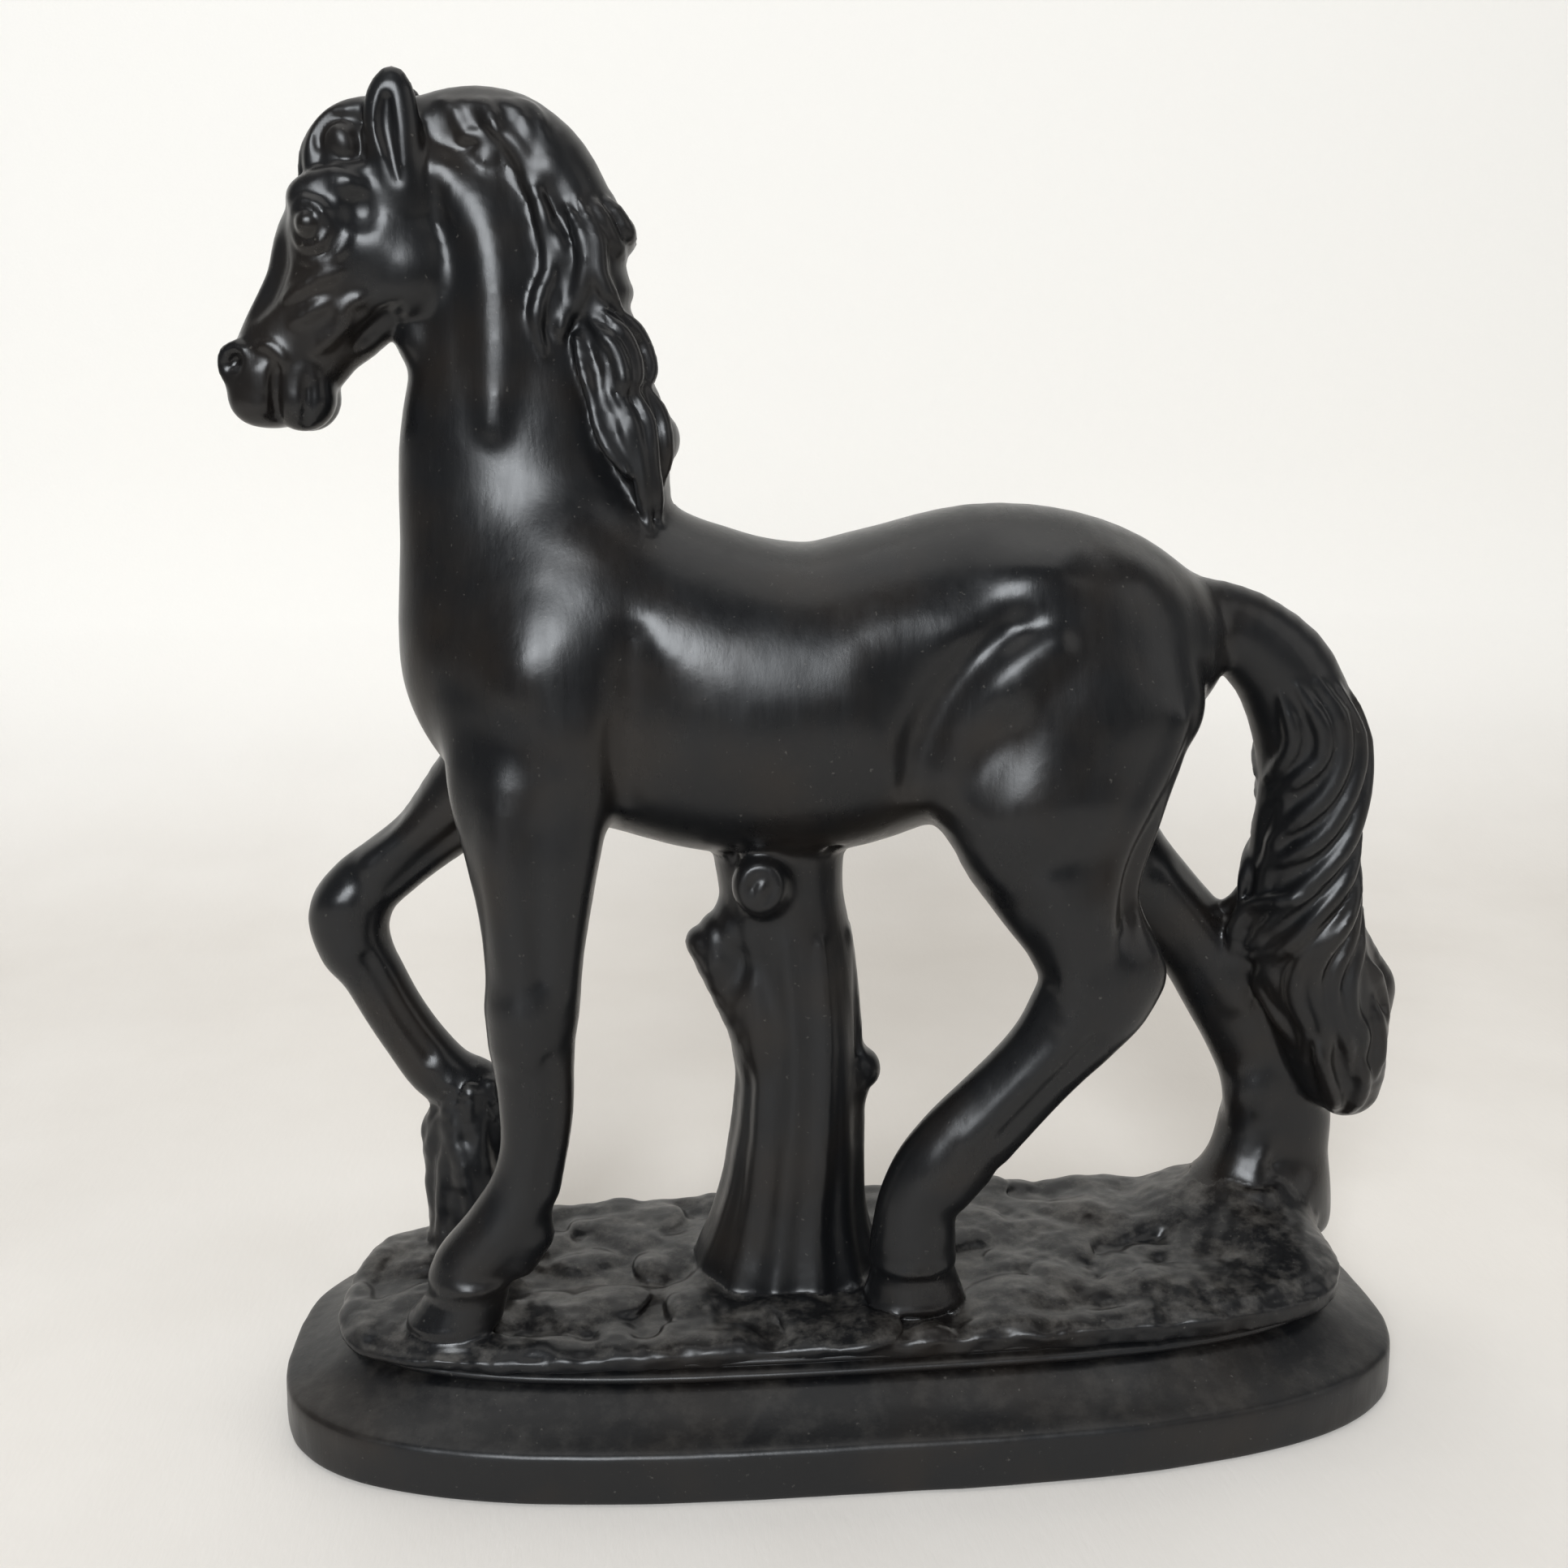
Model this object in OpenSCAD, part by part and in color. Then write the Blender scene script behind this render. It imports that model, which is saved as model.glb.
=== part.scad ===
// Standing horse figure on an oval plinth, a single heavy casting used as a book end.
// Sizes in mm. X runs along the plinth with the horse facing -X, Y runs away from the near
// side, Z is up. The origin is the centre of the underside of the plinth.

/* [Plinth] */
// Length of the plinth at the table
plinth_length = 260; // [250:1:270]
// Width of the plinth at the table
plinth_width = 105; // [100:1:112]
// Height of the straight lower band
band_height = 12; // [10:0.5:14]
// Height of the sloping shoulder above the band
shoulder_height = 6.5; // [5:0.5:8]
// How far the shoulder slopes inward
shoulder_inset = 14.5; // [12:0.5:16]
// Height of the double bead moulding
moulding_height = 5.5; // [4.5:0.5:6.5]
// Depth of the groove between the beads
bead_groove = 1.2; // [0.6:0.1:2]
// Thickness of the rough ground above the moulding
ground_thickness = 3; // [2.5:0.5:4]

/* [Horse] */
// Half width of the barrel at its fullest
barrel_half_width = 30; // [27:0.5:32]
// Half width of the neck where it leaves the shoulders
neck_half_width = 18; // [16:0.5:20]
// Half width of the head across the cheeks
head_half_width = 12; // [11:0.5:13]
// Distance of each leg from the centre plane
leg_offset = 20; // [18.5:0.5:21.5]
// Height of the ears above their roots
ear_length = 19; // [16:0.5:20]

/* [Details] */
// Half width of the tree stump at half height
stump_half_width = 14.5; // [13:0.5:16]
// Points around each rounded section
ring_points = 18; // [14:2:22]
// Steps between two stations of a rounded limb
ring_steps = 2; // [2:1:3]

/* [Hidden] */
shoulder_top = band_height + shoulder_height;
deck = shoulder_top + moulding_height;
ground_top = deck + ground_thickness;
// Every figure height below is measured from the table with the ground at this height.
ground = 27;
lift = ground_top - ground;
step_length = plinth_length - 2 * shoulder_inset;
step_width = plinth_width - 2 * shoulder_inset;
L = leg_offset;
B = barrel_half_width;
E = ear_length;
ink = [0.06, 0.06, 0.065];

// A rounded oval outline with fuller corners than an ellipse.
function oval(length, width, n = 64, power = 3) = [for (i = [0:n - 1])
    let (a = 360 * i / n, c = cos(a), s = sin(a))
    [length / 2 * sign(c) * pow(abs(c), 2 / power),
     width / 2 * sign(s) * pow(abs(s), 2 / power)]];

// Smooth in-between stations: each station is [x, y, z, half depth, half width].
function blend(p0, p1, p2, p3, t) = 0.5 * (2 * p1 + (p2 - p0) * t
    + (2 * p0 - 5 * p1 + 4 * p2 - p3) * t * t + (3 * p1 - p0 - 3 * p2 + p3) * t * t * t);
function smooth(s, k = ring_steps) = let (n = len(s)) [
    for (i = [0:n - 2], j = [0:k - 1])
        blend(s[max(i - 1, 0)], s[i], s[i + 1], s[min(i + 2, n - 1)], j / k),
    s[n - 1]];
function unit(v) = v / norm(v);
function spot(s) = [s[0], s[1], s[2]];
function heading(s, i) = unit(spot(s[min(i + 1, len(s) - 1)]) - spot(s[max(i - 1, 0)]));
// One closed section square to the path, its depth in the side view and its width along Y.
function ring(s, i, n) = let (t = heading(s, i), u = unit(cross([0, 1, 0], t)), v = cross(t, u))
    [for (k = [0:n - 1]) spot(s[i]) + s[i][3] * cos(360 * k / n) * u
        + s[i][4] * sin(360 * k / n) * v];

// A rounded limb through its stations.
module limb(stations, n = ring_points, k = ring_steps) {
    s = smooth(stations, k);
    for (i = [0:len(s) - 2])
        hull()
            polyhedron(points = concat(ring(s, i, n), ring(s, i + 1, n)),
                faces = [for (j = [0:n - 1]) [j, (j + 1) % n, n + j]]);
}

// An egg at a point with its three half sizes.
module egg(p, r, n = 14) translate(p) scale(r) sphere(1, $fn = n);

// A swelling that runs from one egg to another.
module swell(p, r, q, w, n = 14) hull() { egg(p, r, n); egg(q, w, n); }

/* ---- plain shapes, each used by its own node and cut from its neighbours ---- */

// Barrel, chest and croup, from the point of the chest to the point of the buttock.
torso_line = [
    [-84, 0, 173, 8, 7], [-82, 0, 172, 17, 14], [-76.5, 0, 170, 27, 20],
    [-65, 0, 169, 34.5, B - 5], [-46.5, 0, 167, 34.5, B - 2.5], [-27, 0, 161.5, 34.5, B - 0.5],
    [-7.5, 0, 160.5, 33.5, B], [11, 0, 164.5, 33, B - 1], [29.5, 0, 170.5, 31, B - 3],
    [47, 0, 171.5, 27.5, B - 5], [62.5, 0, 170.5, 22, B - 9], [73.5, 0, 170, 16, B - 16],
    [79.5, 0, 169, 8, 7]];

// side is -1 on the near side and +1 on the far side
module haunch(side, reach) {
    swell([46, 13 * side, 177.5], [24, 13, 18], [43.5, 15 * side, 161], [31, 15, 18]);
    swell([43.5, 15 * side, 161], [31, 15, 18], [40 + reach, 18 * side, 144], [24, 14, 14]);
    swell([64.5, 12 * side, 169.5], [13, 12, 16], [60, 15 * side, 149], [9, 11, 14]);
}
module shoulder(side) {
    swell([-57.5, 14 * side, 191], [14, 10, 14], [-67, 17 * side, 168.5], [16, 12, 18]);
    swell([-67, 17 * side, 168.5], [16, 12, 18], [-67, 17 * side, 150.5], [15, 12, 14]);
}
module body_shape() {
    limb(torso_line, n = ring_points + 6);
    haunch(-1, 0);
    haunch(1, 5);
    shoulder(-1);
    shoulder(1);
}

neck_line = [
    [-65, 0, 172, 29, neck_half_width + 2], [-67.5, 0, 186, 28.5, neck_half_width],
    [-68.5, 0, 199.5, 26, neck_half_width - 2], [-70, 0, 212.5, 23.5, neck_half_width - 4],
    [-70, 0, 227, 20.5, neck_half_width - 5.5], [-70.5, 0, 242, 17.5, neck_half_width - 6.5],
    [-71.5, 0, 254.5, 15.5, neck_half_width - 7.5], [-75, 0, 266, 12.5, neck_half_width - 9],
    [-78, 0, 275.5, 8, 6]];
module neck_shape() limb(neck_line);

// Poll, brow, cheek, bridge of the nose, nostrils and lips.
head_line = [
    [-82.5, 0, 275.5, 6, 6], [-87.5, 0, 269, 11, 9.5], [-94.5, 0, 262.5, 13.5, head_half_width - 0.5],
    [-100.5, 0, 254, 14, head_half_width], [-104.5, 0, 245.5, 13, head_half_width - 1],
    [-109.5, 0, 239.5, 11, head_half_width - 3], [-114, 0, 233, 10.2, head_half_width - 4],
    [-118, 0, 228, 10.5, head_half_width - 3.5], [-120, 0, 222.5, 8, head_half_width - 4.5],
    [-120.5, 0, 219, 4, 4]];
module head_shape() {
    limb(head_line);
    for (side = [-1, 1]) {
        swell([-98.5, 6 * side, 246.5], [9, 6.5, 9], [-95.5, 7 * side, 253.5], [7, 5, 7]);
        egg([-107.5, 9 * side, 259.5], [4, 3.5, 3.5]);
    }
    swell([-125.5, 0, 234], [3.5, 6.5, 3.5], [-125.5, 0, 228], [3.5, 7, 4.5]);
    swell([-116.5, 0, 221.5], [5, 5.5, 3.5], [-111.5, 0, 223], [4.5, 5, 3.5]);
}

module ear_shape(side) {
    swell([-90.5, 7 * side, 265.5], [5, 3.6, 4], [-91, 8.2 * side, 271.5], [4.6, 3.2, 4]);
    swell([-91, 8.2 * side, 271.5], [4.6, 3.2, 4], [-90, 8.6 * side, 267.5 + E], [0.9, 0.9, 1.5]);
}

module forelock_shape() {
    swell([-89.5, 0, 277.5], [5, 4.5, 4], [-99, 0, 276.5], [4.5, 5, 4]);
    swell([-99, 0, 276.5], [4.5, 5, 4], [-106.5, 0, 271], [3.2, 4, 3.5]);
    swell([-106.5, 0, 271], [3.2, 4, 3.5], [-110.5, -1, 263.5], [1.5, 2, 2]);
}

// Crest of the mane, then its locks: each starts on the crest and hangs down the near side.
crest_line = [
    [-81, 0, 277.5, 5, 6], [-73, -0.5, 278.5, 6, 8], [-65.5, -1, 272.5, 6.5, 9.5], [-60, -1.5, 263.5, 7, 11],
    [-53.5, -2, 253.5, 7.5, 12], [-51.5, -2, 242, 7.5, 13], [-48, -2, 229.5, 7.5, 14], [-45, -2, 217, 7.5, 15],
    [-43, -2, 206.5, 6, 15], [-39.5, -2, 199.5, 3, 12]];
lock_roots = [[-66, 270], [-59, 262], [-54, 251], [-52, 240], [-49, 229], [-46, 218]];
module mane_shape() {
    limb(crest_line);
    for (r = lock_roots) {
        swell([r[0], -9.5, r[1]], [6, 4, 6], [r[0] - 2, -12, r[1] - 10], [5.5, 4, 6], n = 12);
        swell([r[0] - 2, -12, r[1] - 10], [5.5, 4, 6], [r[0] + 3, -13, r[1] - 19], [3.5, 3, 4], n = 12);
    }
}

tail_line = [
    [73, 0, 180, 7, 7], [81, 0, 177, 8, 8], [91, 1, 171, 9, 9], [101, 2.5, 161, 11, 10.5],
    [108, 4, 147, 13, 11.5], [110, 6, 129.5, 14, 12], [109.5, 8, 114, 15, 12],
    [112, 9, 100, 16, 12], [118, 9, 88, 16, 11], [123, 9, 76, 14, 9.5],
    [125.5, 9, 66, 10.5, 8], [127, 9, 57, 5, 5]];
// The lower locks swing out on the far side, past the body of the tail.
module tail_shape() {
    limb(tail_line);
    swell([119, 14, 100], [8, 7, 12], [128, 15, 82], [8.5, 7, 9]);
    swell([128, 15, 82], [8.5, 7, 9], [129, 14, 68], [6, 6, 8]);
}

near_fore_line = [
    [-67, -L + 6, 159, 19, 10.5], [-69, -L + 4, 147, 17.3, 11.8], [-69, -L + 2, 135, 14.5, 11],
    [-69, -L + 1, 122, 12, 9.5], [-69.5, -L, 109.5, 10.3, 8.6], [-70, -L, 98.5, 9.8, 8.4],
    [-70.5, -L, 90, 8.7, 7.6], [-70.5, -L, 79, 7.6, 6.6], [-71.5, -L, 67.5, 6.6, 6.1],
    [-73.5, -L, 58, 7.3, 6.4], [-77, -L, 50.5, 8.2, 7.2], [-81, -L, 45.5, 8, 7.3],
    [-85.5, -L, 40.5, 7.8, 7.4], [-87, -L, 37, 8, 7.8]];
far_fore_upper_line = [
    [-73, L - 8, 149, 14, 10], [-85, L - 3, 137.5, 11, 9.5], [-96, L, 127, 8, 8],
    [-105, L, 120, 7.8, 7.6], [-111.5, L, 114.5, 8.6, 7.4], [-115, L, 108, 8.8, 7.2],
    [-114, L, 102, 8, 7]];
far_fore_lower_line = [
    [-114.5, L, 108, 8, 7], [-113.5, L, 101, 7.9, 7], [-110, L, 94.5, 7.2, 6.4], [-106, L, 86, 6.9, 6],
    [-101.5, L, 78, 7, 6], [-96, L, 70, 7.4, 6.6], [-90.5, L, 65.5, 7, 7], [-85.5, L, 63, 6.5, 7]];
near_hind_line = [
    [43.5, -L + 6, 151, 25, 13], [41, -L + 4, 138, 22.5, 13.5], [43.5, -L + 2, 124, 16, 12],
    [48, -L + 1, 112, 12, 9.6], [53, -L, 102, 13.5, 8.8], [48, -L, 92.5, 11.5, 8.4],
    [42.5, -L, 85.5, 9.8, 7.6], [36, -L, 78.5, 9.2, 7.2], [29, -L, 71, 9.6, 7.2],
    [23, -L, 64.5, 10, 7.6], [17.5, -L, 57.5, 9.8, 8], [13.5, -L, 50, 9, 7.6], [12.5, -L, 40.5, 9.8, 8.4]];
far_hind_line = [
    [46.5, L - 6, 156, 24, 13], [50.5, L - 4, 141, 21, 13], [58.5, L - 2, 128.5, 16, 12],
    [69, L - 1, 117, 12, 10], [79.5, L, 106, 11, 9], [89, L, 96, 10.5, 8.8],
    [96.5, L, 85, 11, 9], [104, L, 73, 11.5, 9.5], [110.5, L, 60, 12, 10],
    [113, L, 50, 13.2, 10], [113.5, L, 40, 13, 10.5], [113.5, L, 31, 14, 12], [113.5, L, 24, 14.5, 13]];

module near_fore_shape() {
    limb(near_fore_line);
    swell([-73, -L, 45], [5, 5.2, 5], [-75, -L, 40.5], [4.6, 5, 4.6]);
    swell([-72, -L - 1, 99.5], [7, 8, 7], [-72, -L - 1, 92.5], [6.5, 7, 6]);
}
module far_fore_upper_shape() limb(far_fore_upper_line);
module far_fore_lower_shape() limb(far_fore_lower_line);
module near_hind_shape() {
    limb(near_hind_line);
    swell([62, -L, 104], [6, 5.5, 6], [58, -L, 113], [4, 4.5, 6]);
    swell([22, -L, 53], [5, 5.5, 5], [26, -L, 58.5], [4, 5, 4]);
}
module far_hind_shape() limb(far_hind_line);

// A hoof: a smaller ring at the coronet and a wider flat sole.
module hoof_shape(x, y, z, top_shift, height, half_length, half_width) hull() {
    translate([x, y, z]) scale([half_length, half_width, 1]) cylinder(r = 1, h = 2, $fn = 22);
    translate([x + top_shift, y, z + height]) scale([half_length - 3, half_width - 2.5, 1.5])
        sphere(1, $fn = 14);
}
module near_fore_hoof_shape() hoof_shape(-89.5, -L, ground, 4.5, 11.5, 10.5, 9);
module near_hind_hoof_shape() hoof_shape(13, -L, ground, -0.5, 11, 11.5, 9.5);
// The raised hoof is tucked back, with its sole down on the tuft.
module far_fore_hoof_shape() hull() {
    egg([-86.5, L, 63.5], [6, 6.5, 6]);
    egg([-78.5, L, 58], [5, 7, 4.5]);
    egg([-86.5, L, 56], [6, 7, 3]);
}

// Flared trunk that rises to the belly, wider at its roots.
stump_line = [
    [-14, 2, 23, 23, 20], [-13.5, 2, 33, 19.5, 17.5], [-12.5, 2, 45, 17, 16],
    [-11, 2, 62.5, stump_half_width + 1, 15.5], [-10.5, 2, 79.5, stump_half_width, 14.5],
    [-11.5, 2, 99, stump_half_width - 0.5, 14], [-15, 2, 116.5, stump_half_width, 14],
    [-16, 2, 134.5, stump_half_width + 1.5, 15]];
module trunk_shape() limb(stump_line, n = ring_points + 2);
module branch_stub_shape() {
    swell([-26, 1, 95], [5, 8, 8], [-33, 1, 103.5], [4.5, 6.5, 6]);
    swell([-33, 1, 103.5], [4.5, 6.5, 6], [-36.5, 1, 107.5], [2, 3.5, 2.5]);
}
module knob_shape() swell([-2, 0, 72], [5, 7, 8], [4, 0, 74.5], [3.8, 5, 4.5]);

// Column of grass and stalks under the raised hoof, with upright flutes.
module tuft_shape() {
    limb([[-91, L - 1, 23, 13.5, 13.5], [-90, L - 1, 33, 11.5, 11.5], [-90, L - 1, 44, 11.5, 10],
        [-89.5, L, 54, 10.5, 9.5], [-88.5, L, 60.5, 9.5, 8.5], [-88.5, L, 65.5, 7, 7]]);
    for (a = [190:34:340])
        swell([-90.5 + 10 * cos(a), L - 1 + 9 * sin(a), 28], [2.6, 2.6, 3],
            [-89 + 8 * cos(a), L + 7.5 * sin(a), 58], [1.8, 1.8, 3], n = 10);
}

// A low mound of ground that holds the far hind foot.
module mound_shape() {
    swell([99, 17, 26], [18, 15, 9], [108, 18, 32], [13, 12, 6], n = 18);
    swell([103, 2, 25], [11, 18, 8], [96, 10, 26], [16, 16, 7], n = 18);
}

// Keeps only what is above a height.
module above(z) intersection() {
    children();
    translate([0, 0, z + 500]) cube([1000, 1000, 1000], center = true);
}

// A solid skin over flat oval layers, each given as [height, length, width].
module oval_stack(layers, n = 64) hull()
    polyhedron(points = [for (q = layers, p = oval(q[1], q[2], n)) [p[0], p[1], q[0]]],
        faces = [for (i = [0:n - 1], j = [0:len(layers) - 2])
            [j * n + i, j * n + (i + 1) % n, (j + 1) * n + i]]);

/* ---- nodes ---- */

// Straight band, softened rim and sloping shoulder.
module plinth_base() color(ink) oval_stack([
    [0, plinth_length - 1, plinth_width - 1], [1, plinth_length, plinth_width],
    [band_height - 1, plinth_length, plinth_width],
    [band_height + 0.5, plinth_length - 3, plinth_width - 3], [shoulder_top, step_length, step_width]]);

// Two rounded beads with a groove between them.
module bead(z, height, length, width) oval_stack([
    [z, length - 2 * bead_groove, width - 2 * bead_groove], [z + height * 0.3, length, width],
    [z + height * 0.7, length, width],
    [z + height, length - 2 * bead_groove, width - 2 * bead_groove]]);
module plinth_moulding() color(ink) {
    bead(shoulder_top, moulding_height / 2, step_length - 0.5, step_width - 0.5);
    bead(shoulder_top + moulding_height / 2, moulding_height / 2, step_length - 3, step_width - 3);
}

// Rough ground: a slab with a worn edge and low stones near the rim.
stones = [[-96, 2, 9, 7], [-62, -30, 10, 4.5], [-40, -31, 9, 4], [30, -31, 14, 4], [58, -30, 11, 4.5],
    [80, -26, 10, 6], [50, 24, 16, 8], [-56, 22, 14, 8]];
module rocky_ground() color(ink) {
    oval_stack([[deck, step_length - 1, step_width - 5],
        [deck + ground_thickness * 0.5, step_length + 1.5, step_width - 4],
        [ground_top, step_length - 3, step_width - 8]]);
    for (p = stones)
        swell([p[0] - p[2] / 3, p[1], ground_top - 0.4], [p[2] * 0.6, p[3], 1.6],
            [p[0] + p[2] / 3, p[1] + 1, ground_top - 0.6], [p[2] * 0.5, p[3] * 0.8, 1.6], n = 10);
}

module rock_mound() color(ink) translate([0, 0, lift]) difference() {
    above(ground) mound_shape();
    far_hind_shape();
}
module grass_tuft() color(ink) translate([0, 0, lift]) difference() {
    above(ground) tuft_shape();
    far_fore_hoof_shape();
    far_fore_lower_shape();
}
module tree_stump() color(ink) translate([0, 0, lift]) difference() {
    above(ground) trunk_shape();
    body_shape();
    near_hind_shape();
    near_hind_hoof_shape();
}
module stump_branch_stub() color(ink) translate([0, 0, lift]) difference() {
    branch_stub_shape();
    trunk_shape();
}
module stump_knob() color(ink) translate([0, 0, lift]) difference() {
    knob_shape();
    trunk_shape();
}

module body() color(ink) translate([0, 0, lift]) body_shape();
module neck() color(ink) translate([0, 0, lift]) difference() {
    neck_shape();
    body_shape();
}
module head() color(ink) translate([0, 0, lift]) difference() {
    head_shape();
    neck_shape();
}
module ear(side) color(ink) translate([0, 0, lift]) difference() {
    ear_shape(side);
    head_shape();
    neck_shape();
}
module near_ear() ear(-1);
module far_ear() ear(1);
module forelock() color(ink) translate([0, 0, lift]) difference() {
    forelock_shape();
    head_shape();
    neck_shape();
    ear_shape(-1);
    ear_shape(1);
}
module mane() color(ink) translate([0, 0, lift]) difference() {
    mane_shape();
    neck_shape();
    body_shape();
    head_shape();
    forelock_shape();
    ear_shape(-1);
    ear_shape(1);
}
module tail() color(ink) translate([0, 0, lift]) difference() {
    tail_shape();
    body_shape();
    far_hind_shape();
}

module near_foreleg() color(ink) translate([0, 0, lift]) difference() {
    near_fore_shape();
    body_shape();
    near_fore_hoof_shape();
}
module near_fore_hoof() color(ink) translate([0, 0, lift]) near_fore_hoof_shape();
module far_forearm() color(ink) translate([0, 0, lift]) difference() {
    far_fore_upper_shape();
    body_shape();
}
module far_fore_cannon() color(ink) translate([0, 0, lift]) difference() {
    far_fore_lower_shape();
    far_fore_upper_shape();
}
module far_fore_hoof() color(ink) translate([0, 0, lift]) difference() {
    far_fore_hoof_shape();
    far_fore_lower_shape();
}
module near_hind_leg() color(ink) translate([0, 0, lift]) difference() {
    near_hind_shape();
    body_shape();
    near_hind_hoof_shape();
}
module near_hind_hoof() color(ink) translate([0, 0, lift]) near_hind_hoof_shape();
module far_hind_leg() color(ink) translate([0, 0, lift]) difference() {
    above(ground) far_hind_shape();
    body_shape();
}

plinth_base();
plinth_moulding();
rocky_ground();
rock_mound();
grass_tuft();
tree_stump();
stump_branch_stub();
stump_knob();
body();
neck();
head();
near_ear();
far_ear();
forelock();
mane();
tail();
near_foreleg();
near_fore_hoof();
far_forearm();
far_fore_cannon();
far_fore_hoof();
near_hind_leg();
near_hind_hoof();
far_hind_leg();
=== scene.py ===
"""Cast horse figure on an oval plinth: the sculpted skin, paint, floor, lights and camera.

The figure is modelled as clay in a grid of distances, in millimetres and in the CAD frame.
Each stroke adds or cuts a rounded form and belongs to one CAD node, so the finished skin is
divided between the same members as the CAD, with shared seams.
"""
import math

import bpy
import numpy as np
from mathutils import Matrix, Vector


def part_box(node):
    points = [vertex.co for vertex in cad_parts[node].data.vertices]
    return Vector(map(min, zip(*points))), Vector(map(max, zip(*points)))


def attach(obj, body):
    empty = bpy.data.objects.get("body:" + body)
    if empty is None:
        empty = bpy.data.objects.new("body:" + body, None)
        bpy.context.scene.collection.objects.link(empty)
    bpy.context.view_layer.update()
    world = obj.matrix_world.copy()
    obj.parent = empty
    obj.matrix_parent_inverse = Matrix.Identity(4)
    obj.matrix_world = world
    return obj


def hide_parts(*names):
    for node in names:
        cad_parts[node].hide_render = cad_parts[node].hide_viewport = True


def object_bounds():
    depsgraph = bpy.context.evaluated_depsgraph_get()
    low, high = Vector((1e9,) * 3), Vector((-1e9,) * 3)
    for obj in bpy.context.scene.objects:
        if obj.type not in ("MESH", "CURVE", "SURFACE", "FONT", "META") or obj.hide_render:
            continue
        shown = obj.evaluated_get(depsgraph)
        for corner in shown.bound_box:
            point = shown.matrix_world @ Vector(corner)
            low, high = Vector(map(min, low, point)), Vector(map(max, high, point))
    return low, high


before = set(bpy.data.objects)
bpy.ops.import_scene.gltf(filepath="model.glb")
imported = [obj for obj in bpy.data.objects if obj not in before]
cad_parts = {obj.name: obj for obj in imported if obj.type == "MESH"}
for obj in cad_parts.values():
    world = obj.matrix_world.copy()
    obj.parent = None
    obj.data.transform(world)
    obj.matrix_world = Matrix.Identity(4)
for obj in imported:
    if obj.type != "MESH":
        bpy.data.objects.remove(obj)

import openvdb
from mathutils import Vector

CAD_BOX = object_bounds()
MM = 0.001
VOXEL = 0.6       # grid spacing of the clay, mm
CALM_ROUNDS = 16    # rounds of smoothing of the skin
BORDER_ROUNDS = 12  # rounds of smoothing of the borders between members
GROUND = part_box("near_fore_hoof")[0][2] / MM    # height that the feet stand on
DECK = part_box("rocky_ground")[0][2] / MM        # top of the moulding
SCULPTED_GROUND = 27.0              # height of the feet while sculpting; the skin then moves to GROUND
ROUGH_LEVEL = 25.2                  # mean height of the rough ground at x = 0 while sculpting
GROUND_TILT = 0.011                 # the ground rises this much per mm towards the tail
LEG_Y = 20.0                        # each leg's distance from the centre plane


# ---------------------------------------------------------------- curves and noise

def spline(points, steps):
    """Catmull-Rom through rows of numbers, with even steps between two rows."""
    p = np.array(points, float)
    padded = np.vstack([2 * p[0] - p[1], p, 2 * p[-1] - p[-2]])
    rows = []
    for i in range(len(p) - 1):
        a, b, c, d = padded[i:i + 4]
        for t in np.arange(steps) / steps:
            rows.append(0.5 * (2 * b + (c - a) * t + (2 * a - 5 * b + 4 * c - d) * t * t
                               + (3 * b - a - 3 * c + d) * t ** 3))
    rows.append(p[-1])
    return np.array(rows)


def noise(points, size, seed):
    """Smooth value noise from -1 to 1 at points (n, 3), with features of about the size."""
    lattice = np.random.default_rng(seed).uniform(-1, 1, (32, 32, 32))
    q = points / size
    base = np.floor(q).astype(int)
    f = q - base
    f = f * f * (3 - 2 * f)
    total = np.zeros(len(points))
    for corner in range(8):
        o = np.array([corner & 1, corner >> 1 & 1, corner >> 2 & 1])
        weight = np.prod(np.where(o, f, 1 - f), axis=1)
        i, j, k = ((base + o) % 32).T
        total += weight * lattice[i, j, k]
    return total


# ---------------------------------------------------------------- clay

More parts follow.
